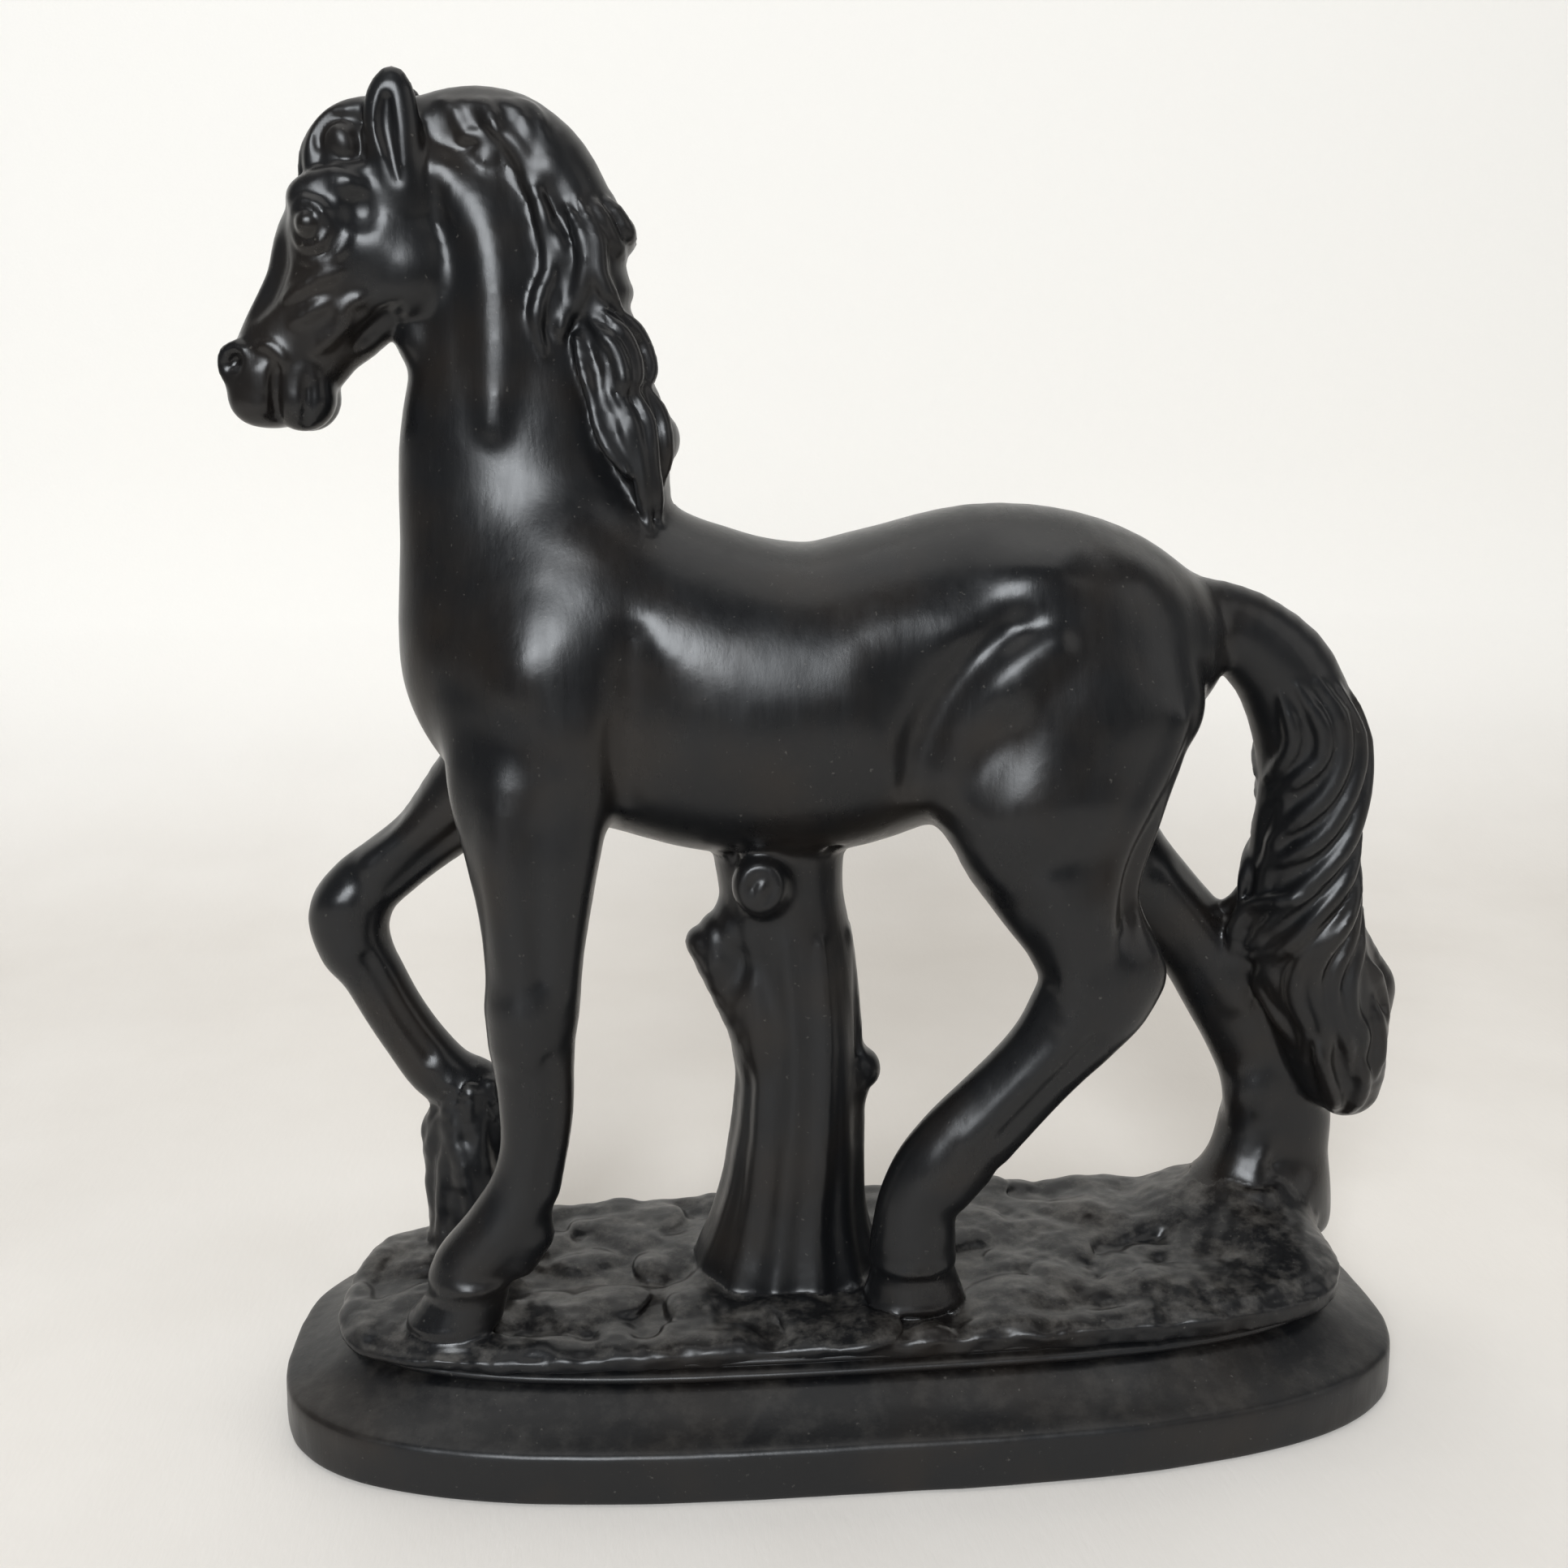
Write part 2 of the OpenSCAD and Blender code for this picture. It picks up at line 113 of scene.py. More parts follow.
class Clay:
    """A box of space holding distances to a growing surface, and the member each point belongs to."""

    def __init__(self, low, high, voxel):
        self.low = np.array(low, float)
        self.voxel = voxel
        self.shape = tuple(np.ceil((np.array(high) - low) / voxel).astype(int) + 1)
        self.field = np.full(self.shape, 9.0, np.float32)
        self.nearest = np.full(self.shape, 99.0, np.float32)
        self.member = np.zeros(self.shape, np.uint8)
        self.names = ["none"]
        self.current = 0

    def begin(self, name):
        """Forms added from here on belong to the named member."""
        if name not in self.names:
            self.names.append(name)
        self.current = self.names.index(name)

    def window(self, low, high):
        """The part of the grid between two corners: its slices and its x, y and z."""
        a = np.clip(np.floor((np.array(low) - self.low) / self.voxel).astype(int), 0, self.shape)
        b = np.clip(np.ceil((np.array(high) - self.low) / self.voxel).astype(int) + 1, 0, self.shape)
        if (b <= a).any():
            return None, None
        axes = [self.low[i] + self.voxel * np.arange(a[i], b[i], dtype=np.float32) for i in range(3)]
        place = tuple(slice(a[i], b[i]) for i in range(3))
        return place, np.meshgrid(*axes, indexing="ij", sparse=True)

    def merge(self, place, d, blend, cut=False):
        """Adds a form with a fillet of about the blend, or cuts it away."""
        old = self.field[place]
        if cut:
            h = np.clip(0.5 - 0.5 * (old + d) / blend, 0, 1)
            self.field[place] = old * (1 - h) - d * h + blend * h * (1 - h)
            return
        h = np.clip(0.5 + 0.5 * (old - d) / blend, 0, 1)
        self.field[place] = old * (1 - h) + d * h - blend * h * (1 - h)
        close = d < self.nearest[place]
        self.nearest[place][close] = d[close]
        self.member[place][close] = self.current

    def limb(self, rows, blend=3.0, steps=4, cut=False, side=(0.0, 1.0, 0.0)):
        """A rounded limb through rows of x, y, z, half depth, half width along the side."""
        s = spline(rows, steps).astype(np.float32)
        s[:, 3:] = np.maximum(s[:, 3:], 0.15)
        side = np.array(side, np.float32)
        reach = blend + 2 * self.voxel
        r = s[:, 3:5].max(1).max() + reach
        place, grid = self.window(s[:, :3].min(0) - r, s[:, :3].max(0) + r)
        if place is None:
            return
        best = np.full([g.size for g in grid], 99.0, np.float32)
        for p, q in zip(s[:-1], s[1:]):
            self.segment(best, grid, p, q, side, reach)
        self.merge(place, best, blend, cut)

    def segment(self, best, grid, p, q, side, reach):
        """Takes one tapered piece of a limb into best, in its own small window."""
        r = max(p[3], p[4], q[3], q[4]) + reach
        low, high = np.minimum(p[:3], q[:3]) - r, np.maximum(p[:3], q[:3]) + r
        cut = [np.searchsorted(g.ravel(), (low[i], high[i])) for i, g in enumerate(grid)]
        place = tuple(slice(a, b) for a, b in cut)
        if any(a >= b for a, b in cut):
            return
        x, y, z = (g[tuple(place[i] if j == i else slice(None) for j in range(3))]
                   for i, g in enumerate(grid))
        along = q[:3] - p[:3]
        length = float(np.linalg.norm(along)) or 1e-6
        t_axis = along / length
        u_axis = np.cross(side, t_axis)
        u_axis /= np.linalg.norm(u_axis) or 1.0
        v_axis = np.cross(t_axis, u_axis)
        dx, dy, dz = x - p[0], y - p[1], z - p[2]
        t = dx * t_axis[0] + dy * t_axis[1] + dz * t_axis[2]
        u = dx * u_axis[0] + dy * u_axis[1] + dz * u_axis[2]
        v = dx * v_axis[0] + dy * v_axis[1] + dz * v_axis[2]
        f = np.clip(t / length, 0, 1)
        a, b = p[3] + (q[3] - p[3]) * f, p[4] + (q[4] - p[4]) * f
        w = t - np.clip(t, 0, length)
        c = np.minimum(a, b)
        best[place] = np.minimum(best[place], rounded(u, v, w, a, b, c))

    def egg(self, centre, radii, blend=2.0, cut=False, turn=0.0):
        """An ellipsoid; turn tips it in the side view, in degrees."""
        centre = np.array(centre, np.float32)
        r = max(radii) + blend + 2 * self.voxel
        place, grid = self.window(centre - r, centre + r)
        if place is None:
            return
        dx, dy, dz = (g - c for g, c in zip(grid, centre))
        k, m = math.cos(math.radians(turn)), math.sin(math.radians(turn))
        self.merge(place, rounded(dx * k + dz * m, dy, dz * k - dx * m, *radii), blend, cut)

    def swell(self, p, r, q, w, blend=3.0, cut=False):
        """A muscle that runs from one round end to another, both with three half sizes."""
        p, r, q, w = (np.array(k, float) for k in (p, r, q, w))
        steps = max(3, int(np.linalg.norm(q - p) / 2.5))
        reach = blend + 2 * self.voxel
        low = np.minimum(p - r, q - w) - reach
        high = np.maximum(p + r, q + w) + reach
        place, grid = self.window(low, high)
        if place is None:
            return
        best = np.full([g.size for g in grid], 99.0, np.float32)
        for t in np.linspace(0, 1, steps):
            c, s = p + (q - p) * t, r + (w - r) * t
            dx, dy, dz = (g - k for g, k in zip(grid, c.astype(np.float32)))
            best = np.minimum(best, rounded(dx, dy, dz, *s.astype(np.float32)))
        self.merge(place, best, blend, cut)

    def skin_y(self, x, z, side):
        """Where a line along Y first meets the clay at x, z, coming from the side; nan if it misses."""
        i, k = (int(round((c - self.low[n]) / self.voxel)) for c, n in ((x, 0), (z, 2)))
        if not (0 <= i < self.shape[0] and 0 <= k < self.shape[2]):
            return math.nan
        column = self.field[i, ::int(-side), k]
        inside = np.flatnonzero(column < 0)
        if not len(inside) or inside[0] == 0:
            return math.nan
        j = inside[0]
        part = column[j - 1] / (column[j - 1] - column[j])
        step = j - 1 + part
        if side > 0:
            step = self.shape[1] - 1 - step
        return self.low[1] + self.voxel * step

    def ridge(self, path, radius, side, blend=0.9, sink=0.35, cut=False):
        """A rounded ridge, or a groove, laid on the skin along a path of x, z seen from the side.

        The radius tapers towards both ends; sink is the share of it that lies under the skin.
        """
        line = spline([(x, z) for x, z in path], 4)
        y = np.array([self.skin_y(x, z, side) for x, z in line])
        known = np.flatnonzero(~np.isnan(y))
        if len(known) < 2:
            return
        y = np.interp(np.arange(len(y)), known, y[known])[known[0]:known[-1] + 1]
        line = line[known[0]:known[-1] + 1]
        y = np.convolve(np.pad(y, 2, mode="edge"), (0.1, 0.2, 0.4, 0.2, 0.1), mode="valid")
        t = np.linspace(0, 1, len(y))
        size = radius * np.clip(0.25 + 3.4 * np.minimum(t, 1 - t), 0.25, 1)
        rows = np.column_stack([line[:, 0], y - side * sink * size, line[:, 1], size, size])
        self.limb(rows, blend, 1, cut)

    def skin(self):
        """The surface as points in mm and four-sided faces."""
        grid = openvdb.FloatGrid(3.0)
        grid.copyFromArray(np.clip(self.field / self.voxel, -3, 3), tolerance=0.0)
        points, quads = grid.convertToQuads(isovalue=0.0)
        return points * self.voxel + self.low, quads[:, ::-1].astype(np.int64)

    def owner(self, points):
        """The member that each point belongs to."""
        i = np.clip(np.rint((points - self.low) / self.voxel).astype(int), 0, np.array(self.shape) - 1)
        return self.member[i[:, 0], i[:, 1], i[:, 2]]


def rounded(u, v, w, a, b, c):
    """Close estimate of the distance to an ellipsoid with half sizes a, b, c."""
    k = np.sqrt((u / a) ** 2 + (v / b) ** 2 + (w / c) ** 2)
    m = np.sqrt((u / a ** 2) ** 2 + (v / b ** 2) ** 2 + (w / c ** 2) ** 2)
    return (k * (k - 1) / np.maximum(m, 1e-4)).astype(np.float32)


def strands(clay, rows, count, radius, seed, sway=0.2, turns=1.0, sink=0.5, start=0.0, end=360.0):
    """Strands along a limb's skin, each swaying about its own angle round the limb.

    The angle is 0 where the side view's depth axis points, and 90 towards +Y.
    """
    rng = np.random.default_rng(seed)
    s = spline(rows, 3)
    t = np.linspace(0, 1, len(s))
    axis = np.gradient(s[:, :3], axis=0)
    axis /= np.linalg.norm(axis, axis=1)[:, None]
    u = np.cross((0.0, 1.0, 0.0), axis)
    u /= np.linalg.norm(u, axis=1)[:, None]
    v = np.cross(axis, u)
    for k in range(count):
        angle = math.radians(start + (end - start) * (k + rng.uniform(0.2, 0.8)) / count)
        thick = radius * rng.uniform(0.75, 1.3)
        turn = angle + sway * np.sin(2 * math.pi * (turns * t + rng.uniform(0, 1)))
        out = (u * (np.cos(turn) * (s[:, 3] - sink * thick))[:, None]
               + v * (np.sin(turn) * (s[:, 4] - sink * thick))[:, None])
        size = thick * np.clip(1.15 - t ** 4, 0.15, 1) * np.clip(0.4 + 3 * t, 0, 1)
        clay.limb(np.column_stack([s[:, :3] + out, size, size]), 0.9, 1)


def both(forms):
    """Runs a forming step on the near side (-1) and on the far side (+1)."""
    for side in (-1, 1):
        forms(side)


# ---------------------------------------------------------------- the horse

TORSO = [
    [-82, 0, 173, 8, 7], [-80, 0, 172.5, 17, 14], [-75, 0, 171, 26, 20], [-65, 0, 169.5, 33.5, 24.5],
    [-46.5, 0, 168, 34.6, 27.5], [-27, 0, 162.6, 34.8, 29.5], [-7.5, 0, 161.6, 34, 30],
    [11, 0, 166.5, 33, 29], [29.5, 0, 172.6, 31, 27], [47, 0, 173.4, 28, 25], [61, 0, 172.2, 22, 20],
    [70.5, 0, 172.6, 15.4, 13.5], [76.5, 0, 174, 9, 8]]


def form_body(clay):
    clay.begin("body")
    clay.limb(TORSO, 6, 5)

    def quarters(s):
        # haunch, thigh and buttock; the far ones reach back to the far hind leg
        reach, back = (5, 3) if s > 0 else (0, 0)
        clay.swell((45.5, 13 * s, 177), (23, 12.5, 17.5), (43, 15 * s, 161), (30, 14.5, 17.5), 5)
        clay.swell((43, 15 * s, 161), (30, 14.5, 17.5), (40 + reach, 18 * s, 144), (23, 13.5, 13.5), 5)
        clay.swell((57.5 + back, 12 * s, 169), (11, 11, 15), (52 + back, 15 * s, 149), (8, 10, 13), 5)
        # shoulder, down to the upper arm
        clay.swell((-57.5, 11.5 * s, 188), (12, 9, 13), (-65, 16 * s, 168.5), (13, 11, 16), 9)
        clay.swell((-65, 16 * s, 168.5), (13, 11, 16), (-66, 16.5 * s, 151), (13, 11, 13), 6)
    both(quarters)

    def muscles(s):
        clay.egg((-58, 20.5 * s, 157), (9, 6.4, 13), 7, turn=-20)  # upper arm
        clay.egg((17, 33 * s, 160), (9, 5, 16), 9, cut=True, turn=38)  # flank hollow
        clay.egg((-46, 34 * s, 150), (4, 5, 20), 8, cut=True, turn=-8)  # behind the arm
        behind_shoulder = [(-47.5, 178), (-48, 168), (-49, 158), (-51, 145)]
        clay.ridge(behind_shoulder, 2.8, s, 6, -0.5, cut=True)
        flank_fold = [(30, 180), (20, 169), (13.5, 158.5), (10.5, 148)]
        clay.ridge(flank_fold, 3.4, s, 7, -0.55, cut=True)
        thigh_front = [(38, 176), (28, 168), (22, 159.5), (19.5, 150), (20, 139), (26, 127)]
        clay.ridge(thigh_front, 5.5, s, 6, 0.8)
        clay.egg((35, 16 * s, 187), (10, 8, 7), 6)  # point of the hip
    both(muscles)
    clay.egg((-86, 0, 156), (7, 2.4, 14), 5, cut=True)  # between the breasts


NECK = [
    [-63, 0, 172, 26, 20], [-66.5, 0, 186, 28.5, 18], [-68.5, 0, 199.5, 27, 16.4],
    [-70.4, 0, 212.5, 24.8, 14.6], [-70.6, 0, 227, 21.8, 13], [-71, 0, 242, 18.4, 12],
    [-71.5, 0, 254.5, 16, 11], [-75, 0, 266, 13, 9.4], [-78, 0, 275.5, 8.5, 6.5]]


def form_neck(clay):
    clay.begin("neck")
    clay.limb(NECK, 10, 6)


def form_neck_cords(clay):
    """The soft cords under the skin of the neck, laid on once the head is there."""
    clay.begin("neck")
    clay.egg((-89.4, 0, 236.5), (4.5, 6.5, 5), 3)  # throat

    def cords(s):
        centre_cord = [(-82, 268), (-77, 262), (-74, 253.5), (-73, 244), (-73, 232), (-74, 220)]
        clay.ridge(centre_cord, 3.8, s, 5, 0.8)
        # two small raised marks behind the cheek
        clay.egg((-80.5, 9.6 * s, 262.5), (1.2, 0.8, 3), 1.2)
        clay.egg((-78.4, 10 * s, 259), (1.1, 0.8, 2.6), 1.2)
    both(cords)


HEAD = [
    [-82.5, 0, 275.5, 6, 6], [-87.5, 0, 269, 11, 9.5], [-94.5, 0, 262.5, 13.8, 11],
    [-101.5, 0, 254.5, 14.8, 11.5], [-105.5, 0, 246, 13.8, 10.5], [-110.5, 0, 240, 12, 9],
    [-115, 0, 233.8, 11, 8.2], [-118.5, 0, 229, 9.6, 7.8], [-119.5, 0, 226, 7.6, 6.6]]


def form_head(clay):
    clay.begin("head")
    clay.limb(HEAD, 3, 5)

    def face(s):
        clay.swell((-91.5, 6 * s, 250.5), (9.5, 5.6, 9.5), (-95, 6.5 * s, 253), (7, 5, 7), 3)  # cheek
        brow_front = (-109.4, 5 * s, 263.4)
        brow_back = (-101, 6.4 * s, 264.6)
        clay.swell(brow_front, (3.8, 4.6, 3.2), brow_back, (4.6, 5, 3.8), 2.4)
        clay.egg((-105.4, 8 * s, 258.4), (6.6, 4.6, 5.8), 2.5)  # socket
        orbit = [(-110.5, 263), (-107, 265.6), (-102, 266.2), (-98, 264.4)]
        clay.ridge(orbit, 2.1, s, 3.4, 0.75)
        clay.egg((-98, 14.4 * s, 260.6), (3.4, 4, 4), 2.6, cut=True)  # temple
        upper_lid = [(-104, 257.4), (-105.4, 260.6), (-108.4, 261.9), (-111.4, 260)]
        lower_lid = [(-104.2, 256.6), (-106.2, 254.2), (-109, 253.9), (-111.4, 255.8)]
        clay.ridge(upper_lid, 1.2, s, 0.9, 0.1)
        clay.ridge(lower_lid, 1.2, s, 0.9, 0.1)
        clay.egg((-108, 11 * s, 258), (2.7, 2.8, 2.7), 0.5)  # eyeball
        under_eye = [(-100, 256.4), (-103, 252), (-107, 250.8), (-111, 252)]
        clay.ridge(under_eye, 1.0, s, 1.2, 0.2)
        side_of_nose = [(-114.4, 254), (-117, 248), (-120.6, 242)]
        clay.ridge(side_of_nose, 2.0, s, 3.6, -0.5, cut=True)
        # soft folds of the cheek
        folds = (([(-102, 249.6), (-107.5, 247.6), (-114, 244)], 1.5),
                 ([(-105.4, 243.6), (-109, 241.6), (-113, 239.6)], 1.3),
                 ([(-101.4, 241), (-105, 237.6), (-109, 234)], 1.4),
                 ([(-98, 244.6), (-101.6, 243), (-104, 240)], 1.2))
        for path, radius in folds:
            clay.ridge(path, radius, s, 1.3, 0.3)
        clay.ridge([(-92, 243), (-97, 239), (-101, 235.6)], 1.6, s, 2.4, -0.1, cut=True)  # jaw
    both(face)

    def muzzle(s):
        ring = [(-124.6, 4.9, 235.2), (-127, 4.2, 234), (-127.8, 3.5, 231.4), (-126.6, 3.8, 229),
                (-124, 4.8, 229), (-122.8, 5.6, 231.4), (-123.6, 5.4, 234.4)]
        # nostril
        clay.limb([[x, y * s, z, 1.5, 1.4] for x, y, z in ring], 1.6, 3)
        clay.egg((-125, 6.6 * s, 231.8), (1.7, 3, 2.3), 0.8, cut=True)
        # upper lip, then chin
        clay.swell((-120.5, 2.9 * s, 229), (5.2, 4.8, 4.6), (-122.2, 2.6 * s, 225.2), (5.4, 4.8, 5.4), 2)
        clay.swell((-112, 3 * s, 229.4), (5.4, 5, 6), (-113, 2.6 * s, 225.6), (6.7, 5.4, 6.9), 0.9)
        lip_arch = [(-121, 235), (-118, 235.4), (-115.6, 233.4), (-115.8, 230.6)]
        clay.ridge(lip_arch, 1.3, s, 1, 0.25)
        clay.swell((-120, 5.4 * s, 230.4), (2.8, 2.6, 2.8), (-120.6, 4.8 * s, 224.6), (2.8, 3, 3.4), 0.9)
        mouth_slit = [(-117.2, 219), (-117.6, 224), (-117, 229), (-116.4, 232)]
        clay.ridge(mouth_slit, 1.2, s, 0.8, 0.1, cut=True)
        chin_slit = [(-110.8, 230), (-111.2, 224.4), (-112.4, 219.5)]
        clay.ridge(chin_slit, 1.0, s, 0.9, 0.1, cut=True)
    both(muzzle)


def form_ears(clay):
    for s, name in ((-1, "near_ear"), (1, "far_ear")):
        clay.begin(name)
        clay.limb([[-90, 7 * s, 262, 4.2, 3.4], [-90.6, 8 * s, 267, 5, 3.6], [-91.4, 8.8 * s, 273, 5.6, 3.4],
                   [-91.6, 9.2 * s, 278.5, 5.4, 3], [-91.2, 9.3 * s, 282.6, 4.4, 2.6],
                   [-90.9, 9.2 * s, 285, 2.8, 2]], 1.6, 6)
        hollow = [[-90.6, 12.8 * s, 266, 1.0, 1.8], [-91.6, 13 * s, 271, 1.6, 2.4],
                  [-92.4, 13 * s, 276.4, 2.1, 2.6], [-92, 12.6 * s, 281, 1.1, 2]]
        clay.limb(hollow, 1.0, 5, cut=True)


def form_forelock(clay):
    clay.begin("forelock")
    clay.swell((-89.5, 0, 277), (5, 4.5, 4), (-98, 0, 275.5), (5, 5, 4.4), 3)
    clay.swell((-98, 0, 275), (5, 6, 5), (-104.5, 0, 270), (4, 5.6, 4.6), 3)
    curl = [(-92, 5, 278.6), (-98, 6, 279.6), (-103.4, 6, 277.4), (-106.6, 6, 273), (-107, 6, 268),
            (-105, 7, 265)]
    hollow = [(-104.5, 270), (-106, 274), (-103.6, 277.6), (-99.6, 277.6)]
    band = [(-104.6, 6.4, 270.6), (-101, 8.4, 268), (-96.6, 9, 267.8), (-92.6, 8.4, 269.6)]

    def side_lock(s):
        """A curl beside the brow, with a small lock in it and a band from it to the ear."""
        clay.limb([[x, s * y, z, 2.2, 2] for x, y, z in curl], 1.4, 4)
        clay.egg((-101.6, 6.2 * s, 273.4), (5, 3.2, 5), 1.4)
        clay.ridge(hollow, 1.1, s, 0.9, 0.1, cut=True)
        clay.egg((-101, 8.4 * s, 273.3), (2.3, 2, 3.4), 0.8, turn=20)
        clay.limb([[x, s * y, z, 1.7, 1.6] for x, y, z in band], 1.0, 4)
    both(side_lock)
    # four locks that fall over the brow
    for k, y in enumerate((-4.4, -1.6, 1.4, 4.2)):
        clay.limb([[-88, y * 0.8, 280.4, 1.5, 1.4], [-96, y, 280.8, 1.9, 1.7],
                   [-103.6, y * 1.1, 278, 1.9, 1.7], [-108.4, y, 272.6, 1.7, 1.6],
                   [-110.3, y * 0.7, 266.4 + k % 2, 0.9, 0.9]], 0.9, 4)


CREST = [
    [-86, 0, 277.4, 6, 6.6], [-80, 0, 278, 7, 8], [-73.5, -0.5, 277.6, 7.6, 8.6], [-67.4, -1, 275, 8.2, 9],
    [-61.6, -1, 269.6, 8.4, 9.4], [-57, -1, 261.4, 8, 9.6], [-54, -1, 252, 6.8, 10],
    [-53, -1, 242, 6.6, 10.5], [-49, -1, 229.5, 6.6, 12], [-46, -1, 217, 6.4, 12.5],
    [-44, -1, 206.5, 5, 12], [-42, -1, 200, 2.4, 8]]

# Strands of the mane in the side view, from the root to the tip, in three tiers.
MANE_TIERS = (
    (([(-67, 267), (-64, 263), (-62.5, 257), (-62, 250), (-64, 245), (-65, 239.5), (-63.4, 233)], 2.0),
     ([(-64, 262), (-61, 257), (-59.6, 250), (-61.4, 244), (-62.6, 239)], 1.7),
     ([(-61, 260), (-58, 252), (-58, 246.5), (-60, 240), (-60.6, 236)], 2.0),
     ([(-58.5, 262), (-55.4, 255.5), (-55, 250), (-56.6, 244.5), (-59, 240)], 2.1),
     ([(-56, 263), (-52.8, 255.5), (-52.4, 249.5), (-50.8, 245.5), (-48, 242)], 2.1),
     ([(-53.5, 263.5), (-49.8, 255.5), (-46.8, 251.5), (-45.4, 247)], 2.1),
     ([(-51, 264), (-47.4, 258.5), (-45.4, 254.5), (-46, 250)], 2.0)),
    (([(-56.5, 238.5), (-53, 235), (-51.3, 231), (-51, 226), (-49, 221.5), (-47.4, 216.5),
       (-46.8, 209.5)], 1.5),
     ([(-57.5, 236), (-56, 230), (-54.4, 224.5), (-53.4, 219.5), (-51, 214.5), (-47.5, 209.6)], 1.5),
     ([(-54.4, 240), (-50, 235), (-48.2, 230), (-48.4, 225)], 2.0),
     ([(-52, 242), (-47.4, 236.5), (-45.6, 231), (-46, 226)], 2.0),
     ([(-49.5, 243), (-44.8, 237.5), (-42.8, 232), (-43, 227)], 2.0)),
    (([(-48.4, 226), (-46.4, 219.5), (-45.2, 213), (-44.4, 206), (-43.4, 199)], 1.9),
     ([(-46.5, 228), (-43.4, 220.5), (-42.8, 213.5), (-42, 206), (-41.4, 200)], 1.9),
     ([(-44, 228), (-40.6, 221.5), (-39.8, 215), (-40.4, 208)], 1.9)))


def form_mane(clay):
    clay.begin("mane")
    clay.limb(CREST, 2.2, 3)
    # the stepped outline at the back of the mane, from the top down
    clay.swell((-52, 0, 263), (3.4, 7, 3.4), (-48.6, 0, 257.4), (3.8, 7.6, 4.4), 1.2)
    clay.swell((-50, 0, 249.4), (3, 7.4, 2.6), (-48.8, 0, 246.4), (3.2, 8, 3), 1.0)
    clay.swell((-49.5, 0, 240), (4, 8, 3), (-46.6, 0, 232), (5, 9, 5.4), 1.2)
    clay.swell((-44.6, 0, 225), (4, 9, 3), (-41.2, 0, 217), (4.6, 9, 5.6), 1.2)
    clay.swell((-43, 0, 212), (3.6, 8, 4), (-42, 0, 207), (2.8, 6.5, 4), 1.2)
    leaf = [(-57, 236.5, 1.4), (-54.6, 231, 2.8), (-52.6, 224.5, 2.4), (-50.6, 217.5, 3), (-47.5, 210, 0.8)]

    def hair(s):
        clay.limb([[x, s * (8.4 + 0.16 * (240 - z)), z, r, 3.4] for x, z, r in leaf], 1.0, 4)
        for path, radius in reversed(sum(MANE_TIERS, ())):
            clay.ridge(path, radius * 0.95, s, 0.7, -0.25)
        # small curls behind the ear
        clay.ridge([(-79, 274), (-75.4, 274.8), (-73, 271.8), (-72.4, 268.6)], 1.5, s, 1.2, 0.2)
        clay.ridge([(-77, 271.6), (-74.6, 271), (-74.4, 268.6)], 1.1, s, 1, 0.2)
        clay.ridge([(-73, 277), (-68, 272.6), (-65.4, 267), (-64, 263)], 1.6, s, 2, 0.3)
        clay.egg((-67, 7.6 * s, 275.5), (1.5, 1.4, 1.9), 0.8)
        clay.egg((-62.6, 8.8 * s, 268.5), (3.2, 1.8, 2.8), 1.6)
        clay.egg((-59, 8.4 * s, 267), (1.2, 1, 1.2), 0.8)
        # short marks across the top of the crest
        for k, (lean, thick) in enumerate(((2.5, 0.9), (4, 0.8), (2, 1.1), (3.6, 0.8), (3, 1.0))):
            x = -82 + 3.7 * k
            clay.ridge([(x, 281.4), (x + lean, 279.4), (x + 1.6 * lean, 275.4)], thick, s, 1.8, 0.5)
    both(hair)


TAIL = [
    [73, 0, 180, 7.4, 7], [81, 0, 178, 8.6, 8], [91, 1, 172.8, 10, 9], [100.4, 2.5, 163.4, 11.4, 10],
    [106.8, 4, 147.6, 11.8, 10.4], [108.8, 6, 129.5, 11.8, 10.4], [110, 8, 114, 12.6, 10.4],
    [112, 9, 100, 13.6, 10.4], [116, 9, 88, 13.6, 9.6], [120, 9, 76, 12.4, 9], [123.6, 9, 66, 11, 8],
    [126, 9, 60, 7.6, 6]]

